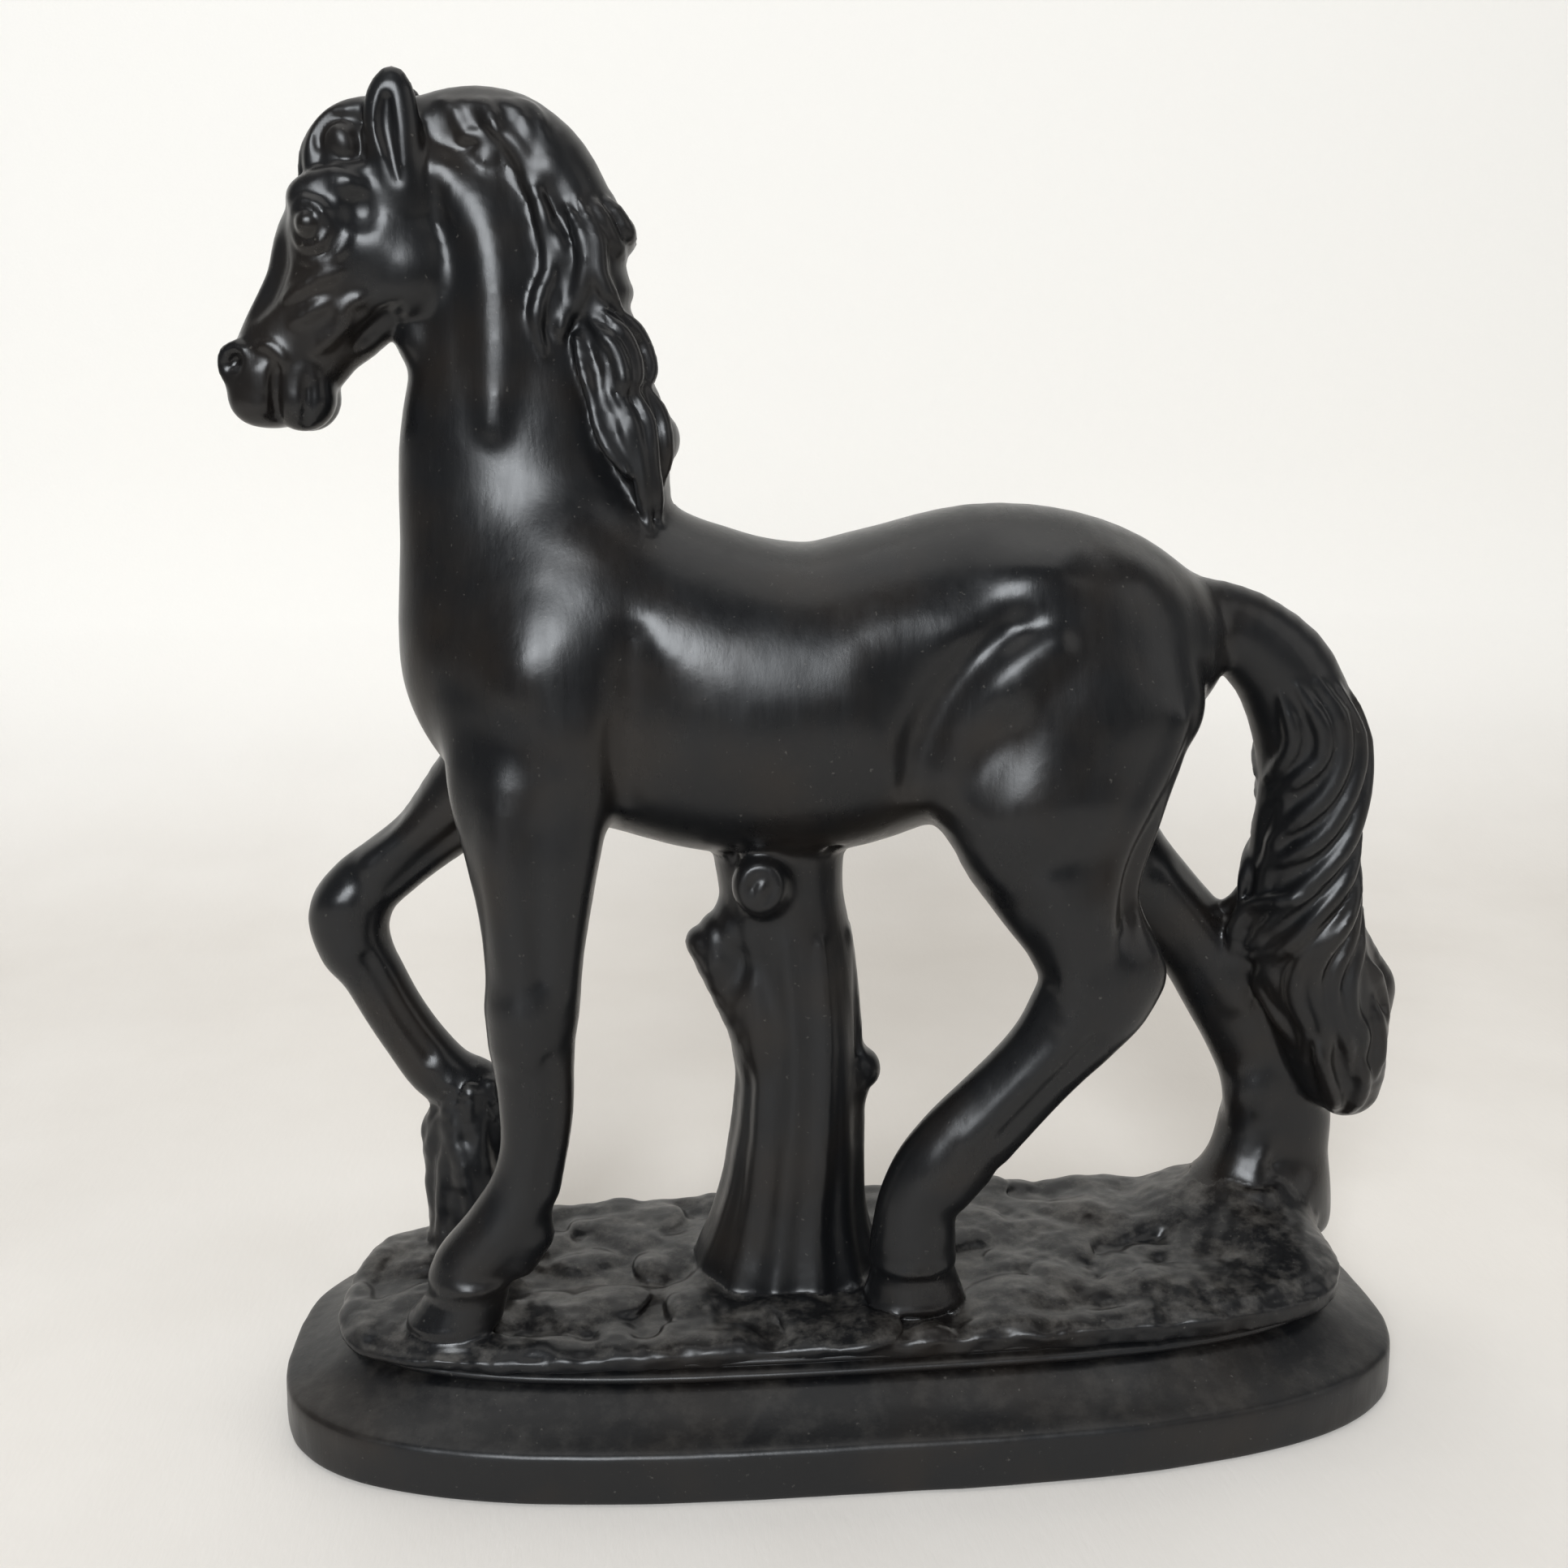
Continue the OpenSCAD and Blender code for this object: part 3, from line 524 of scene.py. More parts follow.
# Strands of the tail in the side view: they fall from the right, sweep across and turn down.
TAIL_STRANDS = (
    ([(98, 164), (104.5, 155), (105.5, 147.5), (101, 141.5), (96, 133.5), (94, 126)], 1.9),
    ([(95, 162), (99, 152), (98, 145), (95.4, 139), (94.6, 132)], 1.7),
    ([(103, 165), (108.5, 157), (110.5, 148), (107.5, 138.5), (101.5, 131), (97, 124), (95, 117)], 2.2),
    ([(109, 163), (113.6, 154), (115, 145), (111.5, 134.5), (106.5, 127), (99.5, 121), (96, 116),
      (94.8, 109)], 2.2),
    ([(113.5, 161), (116, 156), (118.4, 147), (118, 138), (115, 128), (110, 120.5), (105, 114.5),
      (100.5, 107.5), (97, 99)], 2.2),
    ([(116, 160), (121, 149), (121.6, 137), (119, 125), (114.6, 116), (109.5, 109), (104, 101),
      (98, 96)], 2.1),
    ([(122, 146), (123, 134), (120.6, 122), (118, 112), (112.5, 105), (107.8, 98.5), (106.5, 89.5),
      (110.5, 80), (111.5, 70)], 2.1),
    ([(123, 128), (120.6, 116), (115.6, 107), (110.8, 98), (110.6, 89.5), (114, 81), (115.4, 71.5),
      (117, 62)], 2.0),
    ([(123.4, 119), (121, 111), (118, 101.5), (114.8, 92), (117, 82.5), (120.5, 75.5), (122, 68)], 1.9),
    ([(124, 108), (121.4, 100), (119.6, 92), (120.4, 84), (124, 77), (124, 68)], 1.9),
    ([(102.5, 99), (100.5, 91), (104, 83), (109, 74.5)], 1.6),
    ([(108, 115), (99, 111), (94.8, 105), (93.8, 97)], 1.8),
    ([(112, 78), (115, 70), (119, 62), (121, 56)], 1.8), ([(124, 72), (125.6, 64), (124, 56)], 1.8),
    ([(125, 96), (129, 89), (131, 82), (129.6, 75)], 1.9), ([(127, 86), (129.4, 76), (129, 66)], 1.7))


def form_tail(clay):
    clay.begin("tail")
    clay.limb(TAIL, 3, 3)
    # the fuller end and a bulge above the hock, both towards the far side
    clay.swell((118, 14, 102), (7, 7, 12), (129.6, 15, 84), (8, 7, 9), 2.4)
    clay.swell((129.6, 15, 84), (8, 7, 9), (130, 14, 67), (6.4, 6.4, 8), 1.6)
    clay.swell((99, 11, 105), (4.6, 6, 5), (97, 14, 95), (5, 6, 7), 3)

    def hair(s):
        for path, radius in TAIL_STRANDS:
            clay.ridge(path, radius * 1.2, s, 1.1, 0.1)
    both(hair)
    strands(clay, TAIL[4:10], 4, 2.2, 7, sway=0.3, turns=1.0, sink=0.6, start=-45, end=45)


def form_near_foreleg(clay):
    y = -LEG_Y
    clay.begin("near_foreleg")
    clay.limb([
        [-67, y + 6, 159, 19, 10.5], [-69, y + 4, 147, 17.3, 11.8], [-69, y + 2, 135, 14.5, 11],
        [-69, y + 1, 122, 12, 9.5], [-69.5, y, 109.5, 10.3, 8.6], [-70, y, 98.5, 9.8, 8.4],
        [-70.5, y, 90, 8.7, 7.6], [-70.5, y, 79, 7.6, 6.6], [-71.5, y, 67.5, 6.6, 6.1],
        [-73.5, y, 58, 7.3, 6.4], [-77, y, 50.5, 8.2, 7.2], [-81, y, 45.5, 8, 7.3],
        [-85.5, y, 40.5, 7.8, 7.4], [-87, y, 37, 8, 7.8]], 5, 6)
    clay.swell((-72, y - 1, 99.5), (6.6, 8, 6.6), (-72, y - 1, 92.5), (6, 7, 5.5), 4)
    front_cord = [[-70, y + 2, 160, 3, 3], [-73, y - 4, 147, 4.6, 4], [-74, y - 5.4, 134, 4.6, 4],
                  [-73, y - 5.4, 116, 3.6, 3], [-72, y - 5, 104, 2, 2]]
    clay.limb(front_cord, 4, 3)
    back_cord = [[-59, y + 3, 158, 3, 3], [-60, y - 1.4, 146, 4.4, 4], [-61, y - 3, 134, 4.4, 4],
                 [-63.5, y - 3.5, 116, 3, 3], [-64, y - 3, 104, 2, 2.4]]
    clay.limb(back_cord, 4, 3)
    clay.limb([[-67, y - 12.4, 140, 1, 2], [-67.5, y - 11, 122, 1.3, 2], [-67.5, y - 10, 108, 1, 1.6]], 3, 3,
              cut=True)
    clay.limb([[-66.6, y - 8.2, 90, 0.9, 1.4], [-66.5, y - 7.6, 74, 1.1, 1.6], [-69, y - 7.6, 60, 1, 1.6]],
              2.2, 3, cut=True)
    clay.limb([[-64.5, y, 90, 2.2, 3.6], [-64.6, y, 74, 2.2, 3.4], [-68.4, y, 58, 2.6, 3.8]], 2.4, 3)
    clay.swell((-72, y, 47), (5, 5.4, 5), (-75, y, 41.5), (4.6, 5.2, 4.4), 2.5)  # ergot
    form_hoof(clay, "near_fore_hoof", (-89.5, y), 4.5, 11.5, 10.5, 9)


def form_hoof(clay, name, place, shift, height, half_length, half_width):
    """A hoof standing on the ground: a wide sole, a sloping wall and a band at the coronet."""
    x, y = place
    clay.begin(name)
    for k in range(9):
        t = k / 8
        z = 28 + (height - 3) * t
        clay.egg((x + shift * t, y, z), (half_length - 2.4 * t, half_width - 1.8 * t, 3 - 0.4 * t), 0.7)
    coronet = [[x + shift + (half_length - 2.6) * math.cos(a), y + (half_width - 1.4) * math.sin(a),
                SCULPTED_GROUND + height - 0.8, 0.9, 0.9] for a in np.linspace(0, 2 * math.pi, 17)]
    clay.limb(coronet, 2.0, 1, side=(0.0, 0.0, 1.0))
    for k in range(3):
        t = 0.25 + 0.2 * k
        groove = [[x + shift * t + (half_length + 0.9 - 2.4 * t) * math.cos(a),
                   y + (half_width + 0.9 - 1.8 * t) * math.sin(a), 28 + (height - 3) * t, 0.7, 0.7]
                  for a in np.linspace(0.6, 2 * math.pi - 0.6, 17)]
        clay.limb(groove, 0.8, 1, cut=True, side=(0.0, 0.0, 1.0))


def form_far_foreleg(clay):
    y = LEG_Y
    clay.begin("far_forearm")
    clay.limb([
        [-73, y - 8, 149, 14, 10], [-85, y - 3, 137.5, 11, 9.5], [-96, y, 127, 8, 8],
        [-105, y, 120, 7.8, 7.6], [-111.5, y, 114.5, 8.4, 7.4], [-115, y, 108, 8.2, 7.2],
        [-114, y, 102, 7, 6.4]], 6, 4)
    clay.limb([[-88, y - 7, 140, 4, 3], [-99, y - 6, 129, 3, 2.6], [-108, y - 5, 122, 2.4, 2.2]], 3, 3)
    clay.limb([[-86, y - 11, 132, 1, 2], [-96, y - 9, 123, 1.2, 2], [-104, y - 8.5, 116, 1, 1.6]], 2.6, 3,
              cut=True)
    clay.egg((-115, y - 1, 113), (6, 7, 5), 3)
    clay.begin("far_fore_cannon")
    clay.limb([
        [-114.5, y, 108, 8, 7], [-113.5, y, 101, 7.9, 7], [-110, y, 94.5, 7.2, 6.4], [-106, y, 86, 6.9, 6],
        [-101.5, y, 78, 7, 6], [-96, y, 70, 7.4, 6.6], [-90.5, y, 65.5, 7, 7], [-85.5, y, 63, 6.5, 7]],
        4, 4)
    clay.limb([[-110, y - 7.6, 100, 1, 1.6], [-103.5, y - 7, 86, 1, 1.6], [-97, y - 7, 75, 0.9, 1.6]], 2, 3,
              cut=True)
    clay.begin("far_fore_hoof")
    clay.swell((-86.5, y, 63.5), (6, 6.5, 6), (-78.5, y, 58), (5, 7, 4.5), 2)
    clay.swell((-86.5, y, 63.5), (6, 6.5, 6), (-86.5, y, 56), (6, 7, 3), 2)


def form_near_hind_leg(clay):
    y = -LEG_Y
    clay.begin("near_hind_leg")
    clay.limb([
        [43.5, y + 6, 151, 25, 13], [41, y + 4, 138, 22.5, 13.5], [43.5, y + 2, 124, 16, 12],
        [48, y + 1, 112, 12, 9.6], [53, y, 102, 13.5, 8.8], [48, y, 92.5, 11.5, 8.4],
        [42.5, y, 85.5, 9.8, 7.6], [36, y, 78.5, 9.2, 7.2], [29, y, 71, 9.6, 7.2],
        [23, y, 64.5, 10, 7.6], [17.5, y, 57.5, 9.8, 8], [13.5, y, 50, 9, 7.6],
        [12.5, y, 40.5, 9.8, 8.4]], 5, 6)
    clay.swell((62, y, 103), (5.4, 5, 6), (58, y, 113), (3.6, 4.4, 6), 3)
    clay.limb([[63, y + 1, 150, 4, 5], [60, y - 0.5, 136, 3.4, 4], [57, y - 0.5, 121, 2.8, 3.4],
               [60, y, 109, 2.8, 3]], 4, 6)  # Achilles
    thigh_groove = [(66, 151), (60, 138), (56.5, 126), (56.5, 117)]
    clay.ridge(thigh_groove, 1.6, -1, 4, -0.3, cut=True)
    thigh_cord = [(66, 160), (61, 147), (54, 134), (50.5, 121.5), (51, 112)]
    clay.ridge(thigh_cord, 2.4, -1, 4, 0.75)
    clay.egg((33, y - 4, 141), (9, 6, 14), 8, turn=-18)  # stifle
    clay.limb([[40, y - 6, 126, 5, 4], [44, y - 5.5, 114, 4, 3.4], [46.5, y - 5, 104, 3, 3]], 4, 3)
    clay.swell((47.5, y - 4.5, 101), (4.6, 4, 5), (45.5, y - 4, 94), (3.8, 4, 4), 2.6)  # hock joint
    clay.limb([[45, y - 4, 90, 3.4, 3.4], [34, y - 4, 78.5, 3.2, 3.2], [24, y - 4, 67.5, 3, 3.2]], 2.6, 3)
    clay.limb([[50, y - 9, 90, 0.7, 1.4], [40, y - 8.5, 78.5, 0.8, 1.4], [31, y - 8.5, 68, 0.7, 1.2]], 3.2,
              3, cut=True)
    clay.limb([[53.5, y, 88, 2.2, 3.6], [43, y, 75, 2.2, 3.4], [31.5, y, 62, 2.4, 3.6]], 2.4, 3)
    clay.swell((21, y, 54), (5, 5.6, 5), (26.5, y, 58), (3.4, 4.4, 4.4), 2.4)
    form_hoof(clay, "near_hind_hoof", (13, y), -0.5, 11, 11.5, 9.5)


def form_far_hind_leg(clay):
    y = LEG_Y
    clay.begin("far_hind_leg")
    clay.limb([
        [46.5, y - 6, 156, 24, 13], [50.5, y - 4, 141, 21, 13], [58.5, y - 2, 128.5, 16, 12],
        [69, y - 1, 117, 12, 10], [79.5, y, 106, 11, 9], [89, y, 96, 10.5, 8.8],
        [96.5, y, 85, 11, 9], [104, y, 73, 11.5, 9.5], [110.5, y, 60, 12, 10],
        [113, y, 50, 13.2, 10], [113.5, y, 40, 13, 10.5], [113.5, y, 31, 14, 12],
        [113.5, y, 24, 14.5, 13]], 7, 6)
    clay.limb([[76, y - 7, 114, 4, 3], [88, y - 6.6, 100, 4, 3], [98, y - 7, 84, 4, 3]], 3.4, 3)
    clay.swell((100, y - 4, 30), (9, 9, 9), (104, y - 2, 45), (6, 8, 8), 6)
    foot_groove = [(104, 35), (106.4, 38.6), (108.6, 42.4)]
    clay.ridge(foot_groove, 1.2, -1, 1.2, 0.0, cut=True)
    foot_collar = [(103, 38), (104.6, 41.6), (106.4, 45)]
    clay.ridge(foot_collar, 1.6, -1, 1.8, 0.5)
    clay.egg((103, y - 5, 58), (5, 5, 7), 5, turn=-20)


# ---------------------------------------------------------------- stump, tuft and ground

STUMP = [
    [-14, 2, 23, 23, 20], [-13.4, 2, 33, 19.5, 17.5], [-12.4, 2, 45, 17, 16], [-11, 2, 62.5, 15.5, 15.5],
    [-10.6, 2, 79.5, 14.5, 14.5], [-11.4, 2, 99, 14, 14], [-15, 2, 116.5, 14.5, 14],
    [-16, 2, 134.5, 16, 15]]


def form_stump(clay):
    clay.begin("tree_stump")
    clay.limb([[x, y, z, a - 0.6, b - 0.6] for x, y, z, a, b in STUMP], 3, 4)
    # ribs of bark that rise from the roots
    for k in range(13):
        a = math.radians(k * 27.7 + 8)
        c, s = math.cos(a), math.sin(a)
        lean = 2.5 * math.sin(2.1 * k)
        clay.limb([[-14 + 20.4 * c, 2 + 18.2 * s, 25, 2.4, 2.4], [-13 + 16 * c, 2 + 15 * s, 38, 2.2, 2.2],
                   [-11.4 + 13.8 * c + 0.3 * lean, 2 + 14 * s, 58, 1.8, 1.8],
                   [-10.6 + 12.9 * c + 0.6 * lean, 2 + 13 * s, 84, 1.4, 1.4],
                   [-12.6 + 12.4 * c + lean, 2 + 12.4 * s, 108, 0.8, 0.8]], 2.4, 3)
    # short cracks in the bark
    for k in range(9):
        a = math.radians(k * 40 + 20)
        c, s = math.cos(a), math.sin(a)
        z = 50 + 9.5 * (k * 5 % 9)
        clay.limb([[-13.4 + 16.4 * c, 2 + 16 * s, z + 16, 0.8, 0.8], [-13.2 + 16 * c, 2 + 15.6 * s, z, 1, 1],
                   [-13.6 + 16.6 * c, 2 + 16.4 * s, z - 16, 0.6, 0.6]], 2, 3, cut=True)
    # a sawn branch under the belly, facing the near side
    clay.swell((-19, -8, 122), (7, 7, 8), (-21, -13, 123), (6.2, 5.4, 7), 2)
    clay.egg((-21.4, -19, 123.4), (4.6, 3, 5.4), 1.2, cut=True)
    clay.egg((-21.2, -15.6, 122.6), (1.6, 2, 3.4), 1, turn=-20)
    clay.begin("stump_branch_stub")
    clay.swell((-21, 0, 88), (6, 9, 13), (-30, 0, 103), (5, 7, 7), 5)
    clay.swell((-23, 0, 112), (5, 8, 7), (-34, 0, 106.5), (3, 4.6, 3.2), 3)
    clay.egg((-29, -9, 97), (2, 2.2, 8), 3.4, cut=True, turn=-35)
    clay.begin("stump_knob")
    clay.swell((-2, 0, 71), (5, 7, 8), (4, 0, 74.5), (3.8, 5, 4.6), 2.4)


def form_tuft(clay):
    y = LEG_Y
    rows = [[-90, y - 1, 24, 11, 11.5], [-89.4, y - 1, 31, 8.8, 9.2], [-89.6, y - 1, 41, 8.8, 8.4],
            [-89.5, y, 52, 9, 8.4], [-88.5, y, 60, 8, 7.6], [-88, y, 65.5, 6, 6]]
    clay.begin("grass_tuft")
    clay.limb(rows, 2.4, 3)
    strands(clay, rows, 10, 2.7, 5, sway=0.38, turns=0.8, sink=0.4)
    # tips of the blades round the raised hoof
    for k in range(7):
        a = math.radians(150 + 42 * k)
        c, s = math.cos(a), math.sin(a)
        clay.swell((-89 + 8 * c, y + 7 * s, 56), (2.2, 2.2, 6), (-88.6 + 7 * c, y + 6.4 * s, 66 + k % 3),
                   (1.9, 1.9, 2), 1)


def on_rim(centre_x, half_x, half_y, a):
    """The point at angle a of an oval like the ground's outline."""
    c, s = math.cos(a), math.sin(a)
    return (centre_x + half_x * math.copysign(abs(c) ** 0.67, c),
            half_y * math.copysign(abs(s) ** 0.67, s))


def form_ground(clay):
    rng = np.random.default_rng(11)
    low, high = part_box("rocky_ground")
    half_x, half_y = (high[0] - low[0]) / 2 / MM, (high[1] - low[1]) / 2 / MM
    centre_x = (high[0] + low[0]) / 2 / MM
    clay.begin("rocky_ground")
    # a slab inside the CAD node's outline; its top rises towards the tail
    place, (x, y, z) = clay.window((-130, -45, DECK - 2), (135, 45, 34))
    r = np.sqrt(np.sqrt(np.abs(x - centre_x) ** 4 / half_x ** 4 + np.abs(y / half_y) ** 4) + 1e-9)
    edge = (r - 1) * half_y * 0.97
    d = np.maximum(np.maximum(edge, z - ROUGH_LEVEL - GROUND_TILT * x), DECK - 3.5 - z).astype(np.float32)
    clay.merge(place, d, 1.6)
    stones, rim_lumps = 150, 90
    for _ in range(stones):
        a = rng.uniform(0, 2 * math.pi)
        reach = rng.uniform(0.1, 0.97) ** 0.6
        px, py = on_rim(centre_x, (half_x - 5) * reach, (half_y - 4) * reach, a)
        size = rng.uniform(3, 9)
        pz = ROUGH_LEVEL + GROUND_TILT * px + rng.uniform(-0.4, 0.6)
        half_sizes = (size * rng.uniform(0.9, 1.7), size, 1.9)
        clay.egg((px, py, pz), half_sizes, 1.5, turn=rng.uniform(-12, 12))
    for k in range(rim_lumps):
        a = 2 * math.pi * k / rim_lumps + rng.uniform(-0.02, 0.02)
        px, py = on_rim(centre_x, half_x - 3, half_y - 3, a)
        thick = rng.uniform(1.8, 2.6)
        extra = rng.uniform(0.5, 3)
        pz = 25.4 + GROUND_TILT * px + rng.uniform(-0.7, 0.5)
        half_sizes = (thick + extra * abs(math.sin(a)), thick + extra * abs(math.cos(a)), 1.4)
        clay.egg((px, py, pz), half_sizes, 2.6)
    clay.begin("rock_mound")
    clay.swell((98, 16, 26), (17, 15, 8), (107, 17, 31), (12, 12, 6), 8)
    clay.swell((103, 2, 25), (11, 18, 7), (96, 10, 26), (16, 16, 6), 7)
    # blades of grass that lean in towards the foot
    for k in range(26):
        a = math.radians(150 + 9 * k)
        px, py = 104 + 15 * math.cos(a), 14 + 17 * math.sin(a)
        clay.limb([[px, py, 26, 1.8, 1.8], [px - 4 * math.cos(a), py - 4 * math.sin(a), 31, 1.5, 1.5],
                   [px - 8 * math.cos(a + 0.4), py - 8 * math.sin(a + 0.4), 36, 0.6, 0.6]], 1.2, 3)


# ---------------------------------------------------------------- from clay to meshes

def edge_links(quads, count):
    """For each vertex, how many edge ends it has, and a function that sums a value over neighbours."""
    a = quads.ravel()
    b = np.roll(quads, -1, axis=1).ravel()
    i, j = np.concatenate([a, b]), np.concatenate([b, a])
    degree = np.bincount(i, minlength=count)

    def total(values):
        return np.bincount(i, weights=values[j], minlength=count)
    return degree, total


def smooth_points(points, quads, share, rounds):
    """Moves each point towards the mean of its neighbours by its share, round after round."""
    degree, total = edge_links(quads, len(points))
    for _ in range(rounds):
        mean = np.column_stack([total(points[:, k]) for k in range(3)]) / degree[:, None]
        points = points + share[:, None] * (mean - points)
    return points


def vertex_normals(points, quads):
    """Unit normals of the points, each from the faces round it."""
    a, b, c, d = (points[quads[:, k]] for k in range(4))
    face = np.cross(c - a, d - b)
    total = np.zeros_like(points)
    for k in range(3):
        total[:, k] = np.bincount(quads.ravel(), weights=np.repeat(face[:, k], 4), minlength=len(points))
    return total / np.maximum(np.linalg.norm(total, axis=1), 1e-9)[:, None]


def shares(clay, points, quads):
    """The member of each face, with smooth borders between members."""
    owner = clay.owner(points)
    degree, total = edge_links(quads, len(points))
    weight = np.stack([(owner == k).astype(float) for k in range(len(clay.names))], axis=1)
    for _ in range(BORDER_ROUNDS):
        for k in range(1, weight.shape[1]):
            weight[:, k] = 0.5 * weight[:, k] + 0.5 * total(weight[:, k]) / degree
    return weight[quads].sum(axis=1).argmax(axis=1)


def keep_main(quads, face_owner, names):
    """Gives each small island of a member to whichever member surrounds it."""
    for k in range(1, len(names)):
        faces = np.flatnonzero(face_owner == k)
        if not len(faces):
            continue
        q = quads[faces]
        used, local = np.unique(q, return_inverse=True)
        local = local.reshape(q.shape)
        group = np.arange(len(used))
        while True:
            lowest = group[local].min(axis=1)
            new = group.copy()
            for c in range(4):
                np.minimum.at(new, local[:, c], lowest)
            new = new[new]
            if (new == group).all():
                break
            group = new
        face_group = group[local[:, 0]]
        ids, sizes = np.unique(face_group, return_counts=True)
        main = ids[sizes.argmax()]
        stray = faces[face_group != main]
        face_owner[stray] = 0
    vertex_owner = np.zeros(quads.max() + 1, int)
    while (face_owner == 0).any():
        known = face_owner > 0
        vertex_owner[:] = 0
        for c in range(4):
            vertex_owner[quads[known, c]] = face_owner[known]
        stray = np.flatnonzero(~known)
        found = vertex_owner[quads[stray]].max(axis=1)
        if not found.any():
            break
        face_owner[stray] = found
    return face_owner


def rim_loops(faces):
    """Closed rims of a patch of faces, each as a list of vertex numbers."""
    a, b = faces.ravel(), np.roll(faces, -1, axis=1).ravel()
    size = int(faces.max()) + 1
    key, back = a * size + b, b * size + a
    open_edge = ~np.isin(key, back)
    following = {}
    for start, end in zip(a[open_edge].tolist(), b[open_edge].tolist()):
        following.setdefault(start, []).append(end)
    loops = []
    while following:
        start = next(iter(following))
        loop = [start]
        while True:
            ends = following.get(loop[-1])
            if not ends:
                break
            step = ends.pop()
            if not ends:
                del following[loop[-1]]
            if step == start:
                break
            loop.append(step)
        loops.append(loop)
    return loops


def add_piece(name, node, points, faces, normals, material):
    """A closed mesh in metres from a patch of the skin, with its rims filled inside the figure."""
    used, local = np.unique(faces, return_inverse=True)
    local = local.reshape(faces.shape)
    verts, smooth_normals = points[used], normals[used]
    caps = []
    for loop in rim_loops(local):
        size, first = len(loop), len(verts)
        ring = verts[loop]
        reach = np.linalg.norm(ring - ring.mean(axis=0), axis=1).mean()
        inner = ring - smooth_normals[loop] * min(3.0, 0.45 * reach)
        inner = 0.85 * inner + 0.15 * inner.mean(axis=0)
        verts = np.vstack([verts, inner, inner.mean(axis=0)])
        smooth_normals = np.vstack([smooth_normals, smooth_normals[loop], (0.0, 0.0, 1.0)])
        for k in range(size):
            n = (k + 1) % size
            caps.append((loop[n], loop[k], first + k, first + n))
            caps.append((first + n, first + k, first + size))
    mesh = bpy.data.meshes.new(name)
    mesh.from_pydata((verts * MM).tolist(), [], local.tolist() + caps)
    mesh.shade_smooth()
    mesh.normals_split_custom_set_from_vertices(smooth_normals.tolist())
    return finish_piece(name, mesh, node, material)


def finish_piece(name, mesh, node, material):
    """Makes the mesh an object that stands in for its CAD node."""
    piece = bpy.data.objects.new(name, mesh)
    bpy.context.scene.collection.objects.link(piece)
    mesh.materials.append(material)
    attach(piece, "root")
    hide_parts(node)
    return piece


SLOTS = {
    "rocky_ground": "painted_ground", "rock_mound": "painted_ground", "grass_tuft": "painted_ground",
    "tree_stump": "painted_bark", "stump_branch_stub": "painted_bark", "stump_knob": "painted_bark",
    "forelock": "painted_hair", "mane": "painted_hair", "tail": "painted_hair"}
# How much each member's skin is smoothed in each round; the others take CALM_DETAIL.
CALM = {
    "body": 0.6, "neck": 0.5, "near_hind_leg": 0.45, "far_hind_leg": 0.45, "near_foreleg": 0.4,
    "far_forearm": 0.35, "far_fore_cannon": 0.3, "tree_stump": 0.2, "stump_branch_stub": 0.25}
CALM_DETAIL = 0.1
# Layers of unevenness for each paint slot: feature size in mm, height in mm, random seed.
CASTING_NOISE = {
    "painted_ground": ((11.0, 0.5, 7), (5.0, 0.35, 1), (2.2, 0.16, 2)),
    "painted_bark": ((7.0, 0.16, 3),),
    "painted_hair": ((6.0, 0.08, 4),),
    "painted_horse": ((14.0, 0.16, 5), (4.0, 0.03, 6))}


def cast_unevenness(points, normals, member_slot):
    """Pushes each point in or out by the unevenness of its member's surface."""
    push = np.zeros(len(points))
    for name, layers in CASTING_NOISE.items():
        here = member_slot == name
        for size, height, seed in layers:
            push[here] += height * noise(points[here], size, seed)
    return points + normals * push[:, None]


def cast_figure(materials):
    """Sculpts everything above the plinth as one skin and divides it between the CAD's members."""
    clay = Clay((-136, -44, 20), (141, 44, 293), VOXEL)
    form_body(clay)
    form_neck(clay)
    form_near_hind_leg(clay)
    form_far_hind_leg(clay)
    form_near_foreleg(clay)
    form_far_foreleg(clay)
    form_head(clay)
    form_neck_cords(clay)
    form_ears(clay)
    form_forelock(clay)
    form_mane(clay)
    form_tail(clay)
    form_stump(clay)
    form_tuft(clay)
    form_ground(clay)
    points, quads = clay.skin()
    points = smooth_points(points, quads, np.full(len(points), 0.4), 1)
    face_owner = keep_main(quads, shares(clay, points, quads), clay.names)
    owner_of = np.zeros(len(points), int)
    owner_of[quads.ravel()] = np.repeat(face_owner, 4)
    calm = np.array([CALM.get(name, CALM_DETAIL) for name in clay.names])[owner_of]
    calm = smooth_points(calm[:, None] * np.ones((1, 3)), quads, np.full(len(points), 0.5), 8)[:, 0]
    points = smooth_points(points, quads, calm, CALM_ROUNDS)
    slot_of = np.array([SLOTS.get(name, "painted_horse") for name in clay.names])[owner_of]
    points = cast_unevenness(points, vertex_normals(points, quads), slot_of)
    normals = vertex_normals(points, quads)
    if np.einsum("ij,ij->i", points[quads[:, 0]] - points.mean(axis=0), normals[quads[:, 0]]).mean() < 0:
        quads, normals = quads[:, ::-1], -normals
    points[:, 2] += GROUND - SCULPTED_GROUND
    for k, name in enumerate(clay.names):
        patch = quads[face_owner == k]
        if k and len(patch):
            slot_name = SLOTS.get(name, "painted_horse")
            add_piece(name + "_cast", name, points, patch, normals, materials[slot_name])


# ---------------------------------------------------------------- plinth

def oval(length, width, count, power=3.0):
    """Points round a rounded-rectangle-like oval."""
    a = 2 * np.pi * np.arange(count) / count
    c, s = np.cos(a), np.sin(a)
    return np.column_stack([length / 2 * np.sign(c) * np.abs(c) ** (2 / power),
                            width / 2 * np.sign(s) * np.abs(s) ** (2 / power)])


